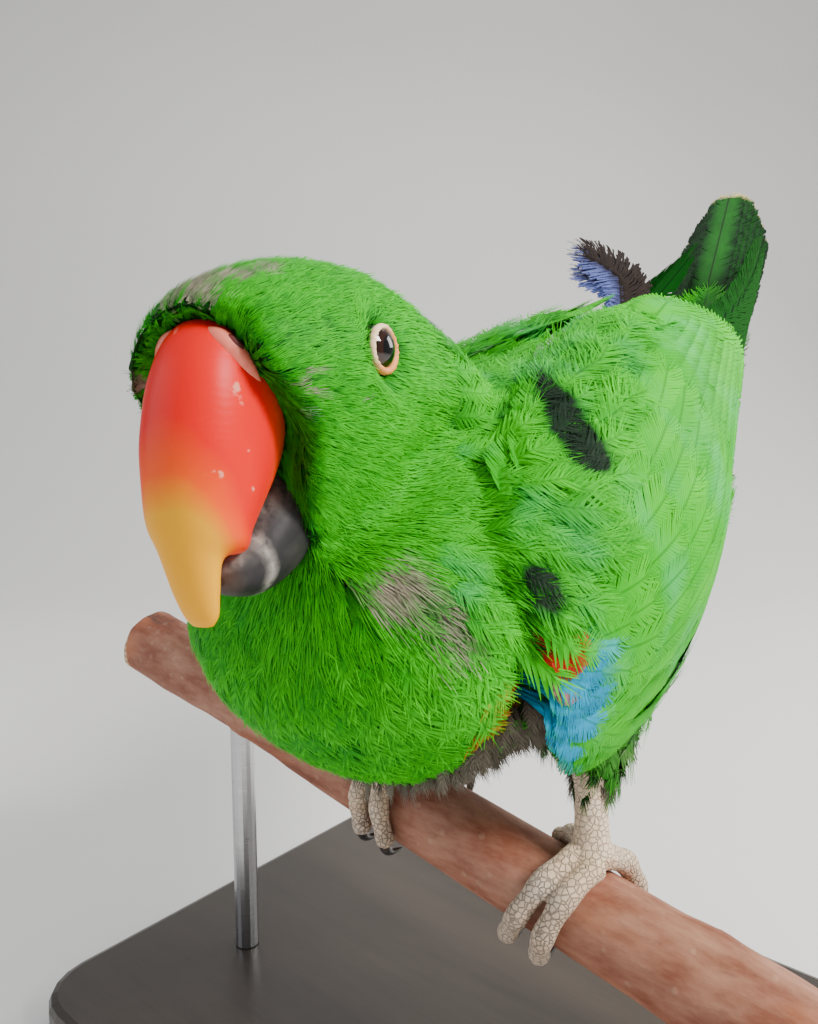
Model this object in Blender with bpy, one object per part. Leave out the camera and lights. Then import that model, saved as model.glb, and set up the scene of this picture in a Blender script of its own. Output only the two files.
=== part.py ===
"""A male eclectus parrot, life size and still, gripping a short cut branch on a plain display stand.

The bird faces -Y with its left side at +X. Its sizes are in millimetres, measured from the point of
the branch's axis between its feet. The origin is the middle of the stand base's underside.
"""

import math
import random

import bmesh
import bpy
from mathutils import Matrix, Vector

MM = 0.001
GAP = 0.3
SLIVER = 0.02
UP = Vector((0, 0, 1))

# Where the branch's axis passes between the feet, from the middle of the base's underside.
GRIP_POINT = Vector((8, -22, 76))

# Perch and stand
PERCH_RADIUS = 9.6
PERCH_RISE = math.radians(-10.3)
PERCH_LEFT_END = 84
PERCH_RIGHT_END = -124
PERCH_SIDES = 14
PERCH_STEPS = 14
# The branch is round within this distance of its grip, and knobbly from a fade outside it
PERCH_GRIP_X = 8
PERCH_ROUND = 44
PERCH_FADE = 18
PERCH_SWELL = (0.5, 13)
PERCH_BEND = (0.6, 31)
PERCH_ROUGH = 0.25
BASE_SIZE = (204, 150, 12)
ROD_RADIUS = 3.5
ROD_PLACES = (64, -78)
ROD_SOCKET = 5
ROD_SIDES = 16
BASE_CORNER = 16
BASE_RIM = 2.5

# Trunk, from the breast to the root of the tail: x, y, z of the middle, half width, height over and under it
TRUNK_ROWS = [
    (7.5, -65.0, 56, 6, 6, 6),
    (7.5, -61.5, 56, 22, 19, 20),
    (7.5, -52.0, 57, 32, 27, 30),
    (8.0, -38.0, 58, 35.5, 32, 36),
    (7.5, -18.0, 62, 37.5, 36, 42),
    (7.0, 5.0, 67, 37.5, 38, 44.5),
    (6.5, 30.0, 74, 35.5, 38, 43),
    (6.0, 55.0, 83, 31, 35, 37),
    (5.0, 80.0, 92, 25, 28, 29),
    (4.5, 103.0, 99.5, 19, 19, 20),
    (3.5, 122.0, 106, 14.5, 11, 12),
    (1.5, 138.0, 116, 12, 7, 7),
    (-0.5, 150.0, 125, 9, 4, 4),
]
TRUNK_SIDES = 22
TRUNK_STEPS = 18

# Head, in its own frame: forward, left and up from the point midway between the eyes
HEAD_CENTRE = Vector((7, -54, 106.7))
HEAD_YAW = math.radians(15)
HEAD_ROLL = math.radians(2)
HEAD_ROWS = [
    (-60, 12, -40, 17, 12, 12),
    (-48, 8, -29, 20, 16, 17),
    (-36, 4, -18, 20.5, 19, 20),
    (-26, 1.5, -9, 20, 20, 23),
    (-16, 0, -6, 19.6, 22.3, 27),
    (-6, 0, -6, 19.6, 22.4, 29),
    (4, 0, -6, 19.2, 21.8, 29),
    (13, 0, -6, 17.8, 19.6, 27),
    (20, 0, -5.5, 15.6, 16.6, 22),
    (25, 0, -4.5, 12.8, 13, 16),
    (28.3, 0, -3.5, 9, 8.5, 9),
    (29.6, 0, -3, 4, 4, 4),
]
HEAD_SIDES = 22
HEAD_STEPS = 17

EAR_PLACE = (-12, 12.4, -7)
EAR_SIZE = (10, 8, 11)
# The hollow of the face that the bill comes out of
FACE_PLACE = (34, 0, -14)
FACE_SIZE = (24, 13.8, 19.4)

# The cuts: through two places of the head's middle plane, forward and up, or at a share of the trunk
HEAD_CUT = ((8, -37), (-31, 9))
NECK_CUT = ((7, -40), (-50, -2))
RUMP_CUT = 0.62
TAIL_CUT = 0.86

# Eyes
EYE_PLACE = (1.5, 13.6, -0.8)
EYE_RADIUS = 5.2
SOCKET_RADIUS = 12
SOCKET_SHIFT = 15.6
LID_SHIFT = 3.9
LID_RADIUS = 4.4
LID_THICKNESS = 0.8
LID_SIDES = 5
LID_STEPS = 14

# Bill, in the head's frame: forward and up of the ridge, forward and up of the cutting edge, half width
UPPER_BILL_ROWS = [
    (18.0, 3.5, 9.0, -14.0, 7.0),
    (25.2, 3.4, 11.5, -18.0, 8.0),
    (30.0, -2.0, 14.0, -21.0, 8.5),
    (32.8, -10.5, 17.0, -24.0, 8.4),
    (33.5, -19.0, 20.5, -26.8, 7.5),
    (32.4, -27.5, 23.9, -29.6, 5.7),
    (29.8, -34.0, 25.0, -34.2, 3.5),
    (27.3, -39.0, 25.2, -38.8, 1.5),
    (26.4, -40.4, 25.6, -40.3, 0.6),
]
LOWER_BILL_ROWS = [
    (10.0, -20.5, 8.5, -30.0, 6.2),
    (12.8, -19.0, 9.5, -33.6, 8.0),
    (16.0, -21.5, 12.5, -35.6, 8.0),
    (20.0, -26.5, 17.5, -36.6, 6.8),
    (23.2, -30.0, 21.5, -35.6, 4.6),
    (24.4, -31.8, 23.6, -34.2, 2.2),
]
BILL_SIDES = 14
CERE_ARC = [(15.8, 8.7, -6.0), (19.0, 7.3, -0.5), (22.4, 4.4, 3.4), (24.2, 0, 4.8)]
CERE_RADII = (0.9, 1.5, 1.7, 1.7, 1.7, 1.5, 0.9)
CERE_SIDES = 8
NOSTRIL_INNER = (18.1, 4.2, 0.4)
NOSTRIL_OUTER = (22.1, 8.2, 3.9)
NOSTRIL_RADIUS = 0.85

# Wings, folded on the trunk: a wing row adds the angles of the lower and the upper edge
WING_ROWS = [
    (8.0, -37.0, 58.5, 35.8, 32.3, 36.8, -14, 30),
    (7.8, -28.0, 60, 36.8, 34.2, 39.5, -26, 46),
    (7.5, -12.0, 63, 37.6, 36.6, 43, -36, 58),
    (7.0, 8.0, 67.5, 37.5, 38, 44.5, -38, 68),
    (6.5, 31.0, 74.5, 35.5, 38, 43, -34, 76),
    (6.0, 55.0, 84, 31, 36, 37, -23, 80),
    (5.0, 80.0, 97, 25.5, 30, 28, -10, 82),
    (4.0, 105.0, 112, 20, 23, 20, 2, 82),
    (2.0, 130.0, 127.5, 16, 17, 14, 8, 82),
    (0.0, 155.0, 143.5, 13, 12, 10, 12, 82),
    (-2.0, 180.0, 159.5, 10.5, 8, 7, 16, 80),
]
WING_BODY_END = 0.54
WING_THICKNESS = 5.6
WING_LIFT = 0.7
WING_STEPS = 9
WING_ACROSS = 6
RIGHT_WING_RAISE = 4.0
RAISED_COUNT = 4
RAISED_ROOT = Vector((-3, 70, 114))
RAISED_ROOT_STEP = Vector((-1.8, 3, 0.6))
RAISED_TIP = Vector((-24, 98, 150))
RAISED_TIP_STEP = Vector((-4.2, 6.5, 2.2))
RAISED_FACE = Vector((0.25, -0.75, 0.6))
RAISED_WIDTH = 11
RAISED_BOW = 8
# The plane between the folded wings: its x where y is 0 and its slope, and the space it shuts off
MIDDLE_X = 10
MIDDLE_SLOPE = -0.066
MIDDLE_Y = (-90, 240)
MIDDLE_Z = (-20, 260)
MIDDLE_REACH = 120
# Tiers of vanes: how many, the root and tip of the first as place along the wing, angle and height,
# each followed by the step to the next one's, and the width
WING_TIERS = [
    (7, (0.40, -22, 1.6), (0.01, 7, 0), (0.985, 22, 0.6), (-0.054, 7, 0.75), 12),
    (6, (0.40, 6, 3.2), (0, 10, 0), (0.70, 12, 5.9), (-0.006, 10, 0.3), 15),
    (3, (0.36, 60, 3.2), (0, 7, 0), (0.66, 66, 7.9), (-0.035, 6, 0.4), 15),
    (7, (0.27, -20, 3.2), (0, 13, 0), (0.50, -15, 4.6), (0, 13, 0.4), 13),
    (6, (0.15, -16, 3.4), (0, 14, 0), (0.33, -12, 6.4), (0, 14, 0.2), 13),
]

# Vanes
VANE_THICKNESS = 0.6
VANE_CROWN = 0.05
VANE_TIP_ROUND = 0.16
VANE_ROOT = 0.45
VANE_OPENING = 1.25
VANE_CLOSING = 1.73
VANE_CLOSE_START = 0.72
VANE_TILT = -0.1

# Tail
TAIL_ROOT = Vector((2.2, 132, 112.5))
TAIL_TURN = math.radians(11)
TAIL_PITCH = math.radians(40)
TAIL_LENGTH = 116
TAIL_FEATHERS = 12
TAIL_FAN = math.radians(0.6)
TAIL_FEATHER_WIDTH = 14
TAIL_ROOT_SPACING = 1.6
TAIL_STEPPING = 0.55
TAIL_HIGHEST = 3.2
TAIL_LAYER = 0.72
# Coverts over and under the tail: how many, spacing, height, its step, length, width
TAIL_COVERTS = [(5, 2.1, 5.0, 0.15, 36, 11), (4, 2.4, -6.6, 0.2, 46, 13)]
TAIL_COVERT_START = -6
# The space that the wings leave to the tail: places along it and half widths, its top and its depth
TAIL_ROOM = [(-14, 15), (40, 19), (125, 24)]
TAIL_TOP = 6.2
TAIL_ROOM_DEPTH = 30

# Legs
FOOT_PLACES = {"left": 34, "right": -21}
FOOT_REACH = 40
CROWN_RISE = 3.2
PAD_RADIUS = 5.0
# Toes: offset along the branch at the root and the tip, towards the bird's own side, and turns round it
TOES = {
    "left": [(-1.9, -11, 82, -46), (2.1, -3.4, 80, -50), (2.0, 8.4, 100, 196), (-2.2, -12.4, 100, 158)],
    "right": [(-1.9, -11, 82, -20), (2.1, -3.4, 80, -24), (2.0, 8.4, 100, 196), (-2.2, -17.0, 100, 140)],
}
TOE_RADIUS = 2.7
TOE_END_RADIUS = 2.2
TOE_TIP = 0.8
TOE_CLEARANCE = 0.55
TOE_SIDES = 7
TOE_STEPS = 9
SCUTE_HIGH = 1.06
SCUTE_LOW = 0.94
CLAW_LENGTH = 8
CLAW_ROWS = [(1.45, 2.6), (1.0, 2.3), (0.3, 2.5)]
SHANK_RADII = (4.0, 3.5, 3.9)
SHANK_SIDES = 10
KNEE_Y = 2.5
THIGH_END = 22.5
THIGH_LINE = ((12, 44), (9, 36), (5.5, 29))
THIGH_RADII = (7.0, 8.5, 7.6, 5.4)
THIGH_SIDES = 12


def clear_scene():
    for thing in list(bpy.data.objects):
        bpy.data.objects.remove(thing, do_unlink=True)


def material(name, colour, roughness, metallic=0.0):
    """A Principled BSDF finish."""
    made = bpy.data.materials.new(name)
    made.use_nodes = True
    shader = made.node_tree.nodes["Principled BSDF"]
    shader.inputs["Base Color"].default_value = (*colour, 1)
    shader.inputs["Roughness"].default_value = roughness
    shader.inputs["Metallic"].default_value = metallic
    return made


def blend_rows(rows, t):
    """The row at t, from 0 to 1, on a smooth curve through a table of rows."""
    place = min(max(t, 0), 1) * (len(rows) - 1)
    i = min(int(place), len(rows) - 2)
    u = place - i
    before, near, far, after = (rows[min(max(k, 0), len(rows) - 1)] for k in range(i - 1, i + 3))
    return tuple(
        0.5 * (2 * q + (r - p) * u + (2 * p - 5 * q + 4 * r - s) * u**2 + (3 * q - p - 3 * r + s) * u**3)
        for p, q, r, s in zip(before, near, far, after)
    )


def world(point):
    """A point of the bird in millimetres, in the model's frame in metres."""
    return (GRIP_POINT + Vector(point)) * MM


def skin_rings(mesh, rings):
    """One closed body through rings of points that all have the same count."""
    ring = [mesh.verts.new(world(point)) for point in rings[0]]
    edges = [mesh.edges.new((ring[i - 1], ring[i])) for i in range(len(ring))]
    bmesh.ops.contextual_create(mesh, geom=edges)
    for points in rings[1:]:
        made = bmesh.ops.extrude_edge_only(mesh, edges=edges)["geom"]
        fresh = {part for part in made if isinstance(part, bmesh.types.BMVert)}
        ring = [next(e.other_vert(v) for e in v.link_edges if e.other_vert(v) in fresh) for v in ring]
        edges = [mesh.edges.get((ring[i - 1], ring[i])) for i in range(len(ring))]
        for vert, point in zip(ring, points):
            vert.co = world(point)
    bmesh.ops.contextual_create(mesh, geom=edges)
    bmesh.ops.recalc_face_normals(mesh, faces=mesh.faces)


def object_from(name, mesh):
    """An object that holds a bmesh, which it frees."""
    data = bpy.data.meshes.new(name)
    mesh.to_mesh(data)
    mesh.free()
    made = bpy.data.objects.new(name, data)
    bpy.context.scene.collection.objects.link(made)
    return made


def ring_object(name, rings):
    mesh = bmesh.new()
    skin_rings(mesh, rings)
    return object_from(name, mesh)


def apply_boolean(target, others, operation, solver="EXACT"):
    """Joins or cuts target with closed mesh objects, applies the result and removes them."""
    group = bpy.data.collections.new("operands")
    for other in others:
        group.objects.link(other)
    modifier = target.modifiers.new(operation.title(), "BOOLEAN")
    modifier.operation = operation
    modifier.operand_type = "COLLECTION"
    modifier.collection = group
    modifier.solver = solver
    graph = bpy.context.evaluated_depsgraph_get()
    joined = bpy.data.meshes.new_from_object(target.evaluated_get(graph))
    target.modifiers.clear()
    target.data = joined
    for other in others:
        bpy.data.objects.remove(other, do_unlink=True)
    bpy.data.collections.remove(group)


def keep_largest(target):
    """Removes every closed surface but the largest from a mesh object, and its slivers."""
    mesh = bmesh.new()
    mesh.from_mesh(target.data)
    bmesh.ops.dissolve_degenerate(mesh, edges=mesh.edges, dist=SLIVER * MM)
    bmesh.ops.triangulate(mesh, faces=mesh.faces)
    left = set(mesh.verts)
    islands = []
    while left:
        stack = [left.pop()]
        island = set(stack)
        while stack:
            for edge in stack.pop().link_edges:
                for vert in edge.verts:
                    if vert in left:
                        left.discard(vert)
                        island.add(vert)
                        stack.append(vert)
        islands.append(island)
    islands.sort(key=len)
    for island in islands[:-1]:
        bmesh.ops.delete(mesh, geom=list(island), context="VERTS")
    mesh.to_mesh(target.data)
    mesh.free()


def shade(target, angle=35):
    target.data.shade_smooth()
    target.data.set_sharp_from_angle(angle=math.radians(angle))


def slab_of(source, name, planes):
    """The part of a closed mesh object behind every plane, each a point and an outward normal."""
    mesh = bmesh.new()
    mesh.from_mesh(source.data)
    for point, normal in planes:
        geometry = mesh.verts[:] + mesh.edges[:] + mesh.faces[:]
        cut = bmesh.ops.bisect_plane(
            mesh, geom=geometry, plane_co=world(point), plane_no=normal, dist=1e-7, clear_outer=True
        )
        rim = [part for part in cut["geom_cut"] if isinstance(part, bmesh.types.BMEdge)]
        bmesh.ops.edgenet_fill(mesh, edges=rim)
    bmesh.ops.recalc_face_normals(mesh, faces=mesh.faces)
    return object_from(name, mesh)


# Trunk and head


def trunk_frame(rows, t):
    """The middle, side and lift directions and sizes of the trunk or wing at t."""
    row = blend_rows(rows, t)
    ahead = Vector(blend_rows(rows, t + 0.01)[:3]) - Vector(blend_rows(rows, t - 0.01)[:3])
    along = ahead.normalized()
    side = along.cross(UP).normalized()
    return Vector(row[:3]), side, side.cross(along), row[3:]


def trunk_point(rows, t, angle, out=0.0):
    """A point on the trunk's oval at t, out from it. The angle is 0 at the left and 90 on the back."""
    middle, side, lift, sizes = trunk_frame(rows, t)
    wide, over, under = sizes[:3]
    turn = math.radians(angle)
    tall = over if math.sin(turn) > 0 else under
    return middle + side * (wide + out) * math.cos(turn) + lift * (tall + out) * math.sin(turn)


def trunk_rings(out=0.0):
    turns = [360 * i / TRUNK_SIDES for i in range(TRUNK_SIDES)]
    places = [k / TRUNK_STEPS for k in range(TRUNK_STEPS + 1)]
    return [[trunk_point(TRUNK_ROWS, t, turn, out) for turn in turns] for t in places]


def trunk_plane(t):
    """The cut across the trunk at t, and its normal towards the tail."""
    middle, side, lift, _ = trunk_frame(TRUNK_ROWS, t)
    return middle, lift.cross(side)


def flesh_before_tail():
    """What the tail's coverts stay clear of: the trunk in front of the tail's own root."""
    body = flesh("flesh_cut", GAP)
    point, normal = trunk_plane(TAIL_CUT)
    cut = slab_of(body, "before_tail", [(point, normal)])
    bpy.data.objects.remove(body, do_unlink=True)
    return cut


def head_axes():
    forward = Vector((math.sin(HEAD_YAW), -math.cos(HEAD_YAW), 0))
    left = Vector((math.cos(HEAD_YAW), math.sin(HEAD_YAW), 0))
    roll = Matrix.Rotation(HEAD_ROLL, 3, forward)
    return forward, roll @ left, roll @ UP


def head_point(forward, left, up):
    ahead, aside, lift = head_axes()
    return HEAD_CENTRE + ahead * forward + aside * left + lift * up


def head_rings(out=0.0):
    rings = []
    for k in range(HEAD_STEPS + 1):
        forward, left, up, wide, over, under = blend_rows(HEAD_ROWS, k / HEAD_STEPS)
        ring = []
        for i in range(HEAD_SIDES):
            turn = 2 * math.pi * i / HEAD_SIDES
            tall = over if math.sin(turn) > 0 else under
            aside = left + (wide + out) * math.cos(turn)
            ring.append(head_point(forward, aside, up + (tall + out) * math.sin(turn)))
        rings.append(ring)
    return rings


def head_oval(name, place, size, segments):
    """An ellipsoid in the head's frame."""
    mesh = bmesh.new()
    bmesh.ops.create_uvsphere(mesh, u_segments=segments, v_segments=segments // 2, radius=1)
    for vert in mesh.verts:
        vert.co = world(head_point(*(at + reach * part for at, reach, part in zip(place, size, vert.co))))
    return object_from(name, mesh)


def ear_coverts(side, out=0.0):
    """The slight swelling of the feathers over the ear."""
    forward, left, up = EAR_PLACE
    return head_oval("ear_coverts", (forward, side * left, up), [reach + out for reach in EAR_SIZE], 12)


def flesh(name, out=0.0):
    """Head, neck, trunk and the root of the tail in one closed body."""
    body = ring_object(name, trunk_rings(out))
    head = ring_object("head_form", head_rings(out))
    apply_boolean(body, [head, ear_coverts(1, out), ear_coverts(-1, out)], "UNION")
    keep_largest(body)
    return body


def bill_rings(rows, grow=0.0):
    """Rings of a mandible: round at the ridge, flatter along the cutting edge."""
    rings = []
    steps = 2 * (len(rows) - 1)
    for k in range(steps + 1):
        ridge_f, ridge_u, edge_f, edge_u, wide = blend_rows(rows, k / steps)
        middle = Vector(((ridge_f + edge_f) / 2, (ridge_u + edge_u) / 2))
        half = Vector((ridge_f - edge_f, ridge_u - edge_u)) / 2
        half *= 1 + grow / max(half.length, 0.5)
        ring = []
        for i in range(BILL_SIDES):
            turn = 2 * math.pi * i / BILL_SIDES
            across = math.copysign(abs(math.cos(turn)) ** 0.85, math.cos(turn)) * (wide + grow)
            place = middle + half * math.sin(turn)
            ring.append(head_point(place.x, across, place.y))
        rings.append(ring)
    return rings


def ball(name, centre, radius, segments=16, rings=10):
    mesh = bmesh.new()
    place = Matrix.Translation(world(centre))
    bmesh.ops.create_uvsphere(mesh, u_segments=segments, v_segments=rings, radius=radius * MM, matrix=place)
    return object_from(name, mesh)


def tube_rings(points, radii, sides):
    """Rings round a path of points, each with its own radius."""
    rings = []
    for i, point in enumerate(points):
        ahead = points[min(i + 1, len(points) - 1)] - points[max(i - 1, 0)]
        turned = ahead.to_track_quat("Z", "Y").to_matrix()
        ring = []
        for k in range(sides):
            turn = 2 * math.pi * k / sides
            ring.append(point + turned @ Vector((math.cos(turn), math.sin(turn), 0)) * radii[i])
        rings.append(ring)
    return rings


def eye_centre(side):
    return head_point(EYE_PLACE[0], side * EYE_PLACE[1], EYE_PLACE[2])


def lid_ring(side):
    """The bare lid: a thin ring round the opening, proud of the head's side."""
    ahead, aside, lift = head_axes()
    centre = eye_centre(side) + aside * side * LID_SHIFT
    mesh = bmesh.new()
    profile = []
    for k in range(LID_SIDES):
        turn = 2 * math.pi * k / LID_SIDES
        out = ahead * (LID_RADIUS + LID_THICKNESS * math.cos(turn))
        profile.append(mesh.verts.new(world(centre + out + aside * LID_THICKNESS * 1.3 * math.sin(turn))))
    edges = [mesh.edges.new((profile[k - 1], profile[k])) for k in range(LID_SIDES)]
    bmesh.ops.spin(
        mesh, geom=edges, cent=world(centre), axis=aside, angle=2 * math.pi, steps=LID_STEPS, use_merge=True
    )
    bmesh.ops.remove_doubles(mesh, verts=mesh.verts, dist=1e-6)
    bmesh.ops.recalc_face_normals(mesh, faces=mesh.faces)
    return object_from("lid", mesh)


def cere():
    """The narrow bare skin over the bill's base, from one side to the other."""
    places = CERE_ARC + [(forward, -left, up) for forward, left, up in CERE_ARC[-2::-1]]
    points = [head_point(*place) for place in places]
    return ring_object("cere", tube_rings(points, CERE_RADII, CERE_SIDES))


def nostril(side):
    """A short slit through the cere, leaning in towards the ridge."""
    ends = [head_point(forward, side * left, up) for forward, left, up in (NOSTRIL_INNER, NOSTRIL_OUTER)]
    return ring_object("nostril", tube_rings(ends, [NOSTRIL_RADIUS] * 2, CERE_SIDES))


def plane_across(low, high):
    """A point of the cut through two places of the head's middle plane, and its normal towards the face."""
    ahead, _, lift = head_axes()
    run = Vector(high) - Vector(low)
    return head_point(low[0], 0, low[1]), (ahead * run.y - lift * run.x).normalized()


def shifted(plane, sign):
    """A cut's plane facing its own way or back, half a gap inside it."""
    point, normal = plane
    return point - normal * sign * GAP / 2, normal * sign


def build_flesh():
    """The head, neck, torso and rump, parted by thin cuts, and the root that the tail grows from."""
    body = flesh("body")
    behind_head = plane_across(*HEAD_CUT)
    under_neck = plane_across(*NECK_CUT)
    rump_start = trunk_plane(RUMP_CUT)
    tail_start = trunk_plane(TAIL_CUT)
    head = slab_of(body, "head", [shifted(behind_head, -1)])
    slab_of(body, "neck", [shifted(behind_head, 1), shifted(under_neck, -1)])
    slab_of(body, "torso", [shifted(under_neck, 1), shifted(rump_start, 1)])
    slab_of(body, "rump", [shifted(rump_start, -1), shifted(tail_start, 1)])
    tail_root = slab_of(body, "tail", [shifted(tail_start, -1)])
    bpy.data.objects.remove(body, do_unlink=True)
    return head, tail_root


def build_head(head):
    """Eye sockets, lids, cere, nostrils and the seats of the two mandibles."""
    apply_boolean(head, [head_oval("face", FACE_PLACE, FACE_SIZE, 20)], "DIFFERENCE")
    apply_boolean(head, [cere()], "UNION")
    for side in (1, -1):
        forward, left, up = EYE_PLACE
        dish = ball("dish", head_point(forward, side * (left + SOCKET_SHIFT), up), SOCKET_RADIUS, 16, 12)
        apply_boolean(head, [dish], "DIFFERENCE")
        apply_boolean(head, [lid_ring(side)], "UNION")
        apply_boolean(head, [ball("eye_cut", eye_centre(side), EYE_RADIUS + GAP, 12, 8)], "DIFFERENCE")
        apply_boolean(head, [nostril(side)], "DIFFERENCE")
    for rows in (UPPER_BILL_ROWS, LOWER_BILL_ROWS):
        apply_boolean(head, [ring_object("bill_cut", bill_rings(rows, GAP))], "DIFFERENCE")
    keep_largest(head)


def build_eyes_and_bill():
    for side, name in ((1, "left"), (-1, "right")):
        ball("eye_" + name, eye_centre(side), EYE_RADIUS, 14, 9)
    ring_object("bill_upper", bill_rings(UPPER_BILL_ROWS))
    lower = ring_object("bill_lower", bill_rings(LOWER_BILL_ROWS))
    apply_boolean(lower, [ring_object("bill_cut", bill_rings(UPPER_BILL_ROWS, GAP))], "DIFFERENCE")
    keep_largest(lower)


# Feathers


def vane_outline(share):
    """A vane's half width along it as a share of its widest: narrow at the root, closing at the tip."""
    opening = math.sin(math.pi / 2 * min(share * VANE_OPENING, 1) ** 0.8)
    closing = VANE_CLOSING * max(share - VANE_CLOSE_START, 0) ** 1.2
    return VANE_ROOT + (1 - VANE_ROOT) * opening - closing


def vane(path, width, tilt=0.0, steps=3):
    """A feather's vane: a thin crowned plate along a path, split into triangles alike on both faces."""
    mesh = bmesh.new()
    bmesh.ops.create_grid(mesh, x_segments=2, y_segments=steps, size=1)
    bmesh.ops.triangulate(mesh, faces=mesh.faces)
    for vert in mesh.verts:
        across = vert.co.x
        share = (vert.co.y + 1) / 2
        share *= 1.5 - 0.5 * share
        point, out, aside = path(share)
        half = width / 2 * vane_outline(share)
        point += out * (tilt * across * half + VANE_CROWN * width * (1 - across * across))
        if share > 0.99 and abs(across) > 0.5:
            point -= out.cross(aside).normalized() * VANE_TIP_ROUND * width
        vert.co = world(point + aside * across * half)
    bmesh.ops.recalc_face_normals(mesh, faces=mesh.faces)
    bmesh.ops.solidify(mesh, geom=mesh.faces, thickness=VANE_THICKNESS * MM)
    bmesh.ops.recalc_face_normals(mesh, faces=mesh.faces)
    return object_from("vane", mesh)


def wing_point(side, t, angle, out):
    """A point over the folded wing's sheet. Angles run from the flank up to the back on either side."""
    if side < 0:
        out += RIGHT_WING_RAISE * max(t - 0.4, 0)
        angle = 180 - angle
    return trunk_point(WING_ROWS, t, angle, out)


def wing_path(side, root, tip):
    """The path of a vane over the wing from root to tip, each a place along it, an angle and a height."""

    def place(share, rise=0.0):
        t, angle = (a + (b - a) * share for a, b in zip(root[:2], tip[:2]))
        out = root[2] + (tip[2] - root[2]) * min(max(share, 0) * 2.2, 1)
        return wing_point(side, t, angle, out + rise)

    def path(share):
        point = place(share)
        ahead = (place(share + 0.03) - place(share - 0.03)).normalized()
        out = place(share, 1.0) - point
        out = (out - ahead * out.dot(ahead)).normalized()
        return point, out, out.cross(ahead) * side

    return path


def wing_body(side):
    """The arm, the hand and their small coverts: a pad on the trunk's side."""
    rings = []
    for k in range(WING_STEPS + 1):
        share = k / WING_STEPS
        t = share * WING_BODY_END
        low, high = trunk_frame(WING_ROWS, t)[3][3:]
        thick = WING_THICKNESS * math.sin(math.pi * (0.12 + 0.68 * share))
        outer = []
        inner = []
        for i in range(WING_ACROSS + 1):
            q = i / WING_ACROSS
            angle = low + (high - low) * q
            swell = thick * math.sin(math.pi * (0.06 + 0.88 * q)) ** 0.6
            outer.append(wing_point(side, t, angle, WING_LIFT + swell))
            inner.append(wing_point(side, t, angle, WING_LIFT))
        rings.append(outer + inner[::-1])
    return ring_object("wing_" + ("left" if side > 0 else "right"), rings)


def wing_vanes(side):
    """The vanes over one wing, tier by tier from the primaries up to the median coverts."""
    vanes = []
    for count, root, root_step, tip, tip_step, width in WING_TIERS:
        for i in range(count):
            start = [at + step * i for at, step in zip(root, root_step)]
            end = [at + step * i for at, step in zip(tip, tip_step)]
            vanes.append(vane(wing_path(side, start, end), width, VANE_TILT))
    return vanes


def raised_vanes():
    """The few flight feathers of the right wing that stand up over the rump, bent over to the right."""
    vanes = []
    for i in range(RAISED_COUNT):
        root = RAISED_ROOT + RAISED_ROOT_STEP * i
        run = RAISED_TIP + RAISED_TIP_STEP * i - root
        out = RAISED_FACE - run * (RAISED_FACE.dot(run) / run.length_squared)
        out.normalize()
        aside = out.cross(run).normalized()

        def path(share, root=root, run=run, out=out, aside=aside):
            return root + run * share - aside * RAISED_BOW * math.sin(math.pi * share), out, aside

        vanes.append(vane(path, RAISED_WIDTH))
    return vanes


def other_side(side):
    """The space across the plane between the folded wings, which belongs to the other wing."""
    rings = []
    for y in MIDDLE_Y:
        near = MIDDLE_X + MIDDLE_SLOPE * y + side * GAP / 2
        far = near - side * MIDDLE_REACH
        low, high = MIDDLE_Z
        rings.append([Vector((x, y, z)) for x, z in ((near, low), (near, high), (far, high), (far, low))])
    return ring_object("other_side", rings)


def tail_room():
    """The tail's own space, with a gap over it."""
    ahead, aside, lift = tail_axes()
    rings = []
    for along, wide in TAIL_ROOM:
        middle = TAIL_ROOT + ahead * along
        over = TAIL_TOP + GAP
        corners = ((-wide, -TAIL_ROOM_DEPTH), (wide, -TAIL_ROOM_DEPTH), (wide, over), (-wide, over))
        rings.append([middle + aside * across + lift * rise for across, rise in corners])
    return ring_object("tail_room", rings)


def build_wing(side):
    wing = wing_body(side)
    vanes = wing_vanes(side)
    if side < 0:
        vanes += raised_vanes()
    apply_boolean(wing, vanes, "UNION")
    thigh = thigh_form("left" if side > 0 else "right", GAP)
    for cutter in (flesh("flesh_cut", GAP), other_side(side), tail_room(), thigh):
        apply_boolean(wing, [cutter], "DIFFERENCE")
    keep_largest(wing)


def tail_axes():
    level = Vector((-math.sin(TAIL_TURN), math.cos(TAIL_TURN), 0))
    ahead = level * math.cos(TAIL_PITCH) + UP * math.sin(TAIL_PITCH)
    aside = ahead.cross(UP).normalized()
    return ahead, aside, aside.cross(ahead)


def tail_path(offset, level, length, start=0.0):
    """The straight path of a tail feather: its place across the tail, its height and its length."""
    ahead, aside, lift = tail_axes()
    run = Matrix.Rotation(-TAIL_FAN * offset, 3, lift) @ ahead
    root = TAIL_ROOT + aside * TAIL_ROOT_SPACING * offset + lift * level + ahead * start

    def path(share):
        return root + run * length * share, lift, run.cross(lift)

    return path


def build_tail(tail):
    """The tail feathers, the middle pair on top, and the coverts over and under their roots."""
    vanes = []
    for i in range(TAIL_FEATHERS):
        offset = i - (TAIL_FEATHERS - 1) / 2
        rank = 2 * int(abs(offset)) + (offset > 0)
        length = TAIL_LENGTH - TAIL_STEPPING * offset * offset
        path = tail_path(offset, TAIL_HIGHEST - TAIL_LAYER * rank, length)
        vanes.append(vane(path, TAIL_FEATHER_WIDTH, steps=2))
    for count, spacing, level, layer, length, width in TAIL_COVERTS:
        for i in range(count):
            offset = (i - (count - 1) / 2) * spacing
            path = tail_path(offset, level - layer * i, length - abs(offset), TAIL_COVERT_START)
            vanes.append(vane(path, width))
    apply_boolean(tail, vanes, "UNION")
    apply_boolean(tail, [flesh_before_tail()], "DIFFERENCE")
    keep_largest(tail)


# Legs


def perch_axis(x):
    """The point of the branch's axis at x."""
    return Vector((x, 0, x * math.tan(PERCH_RISE)))


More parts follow.
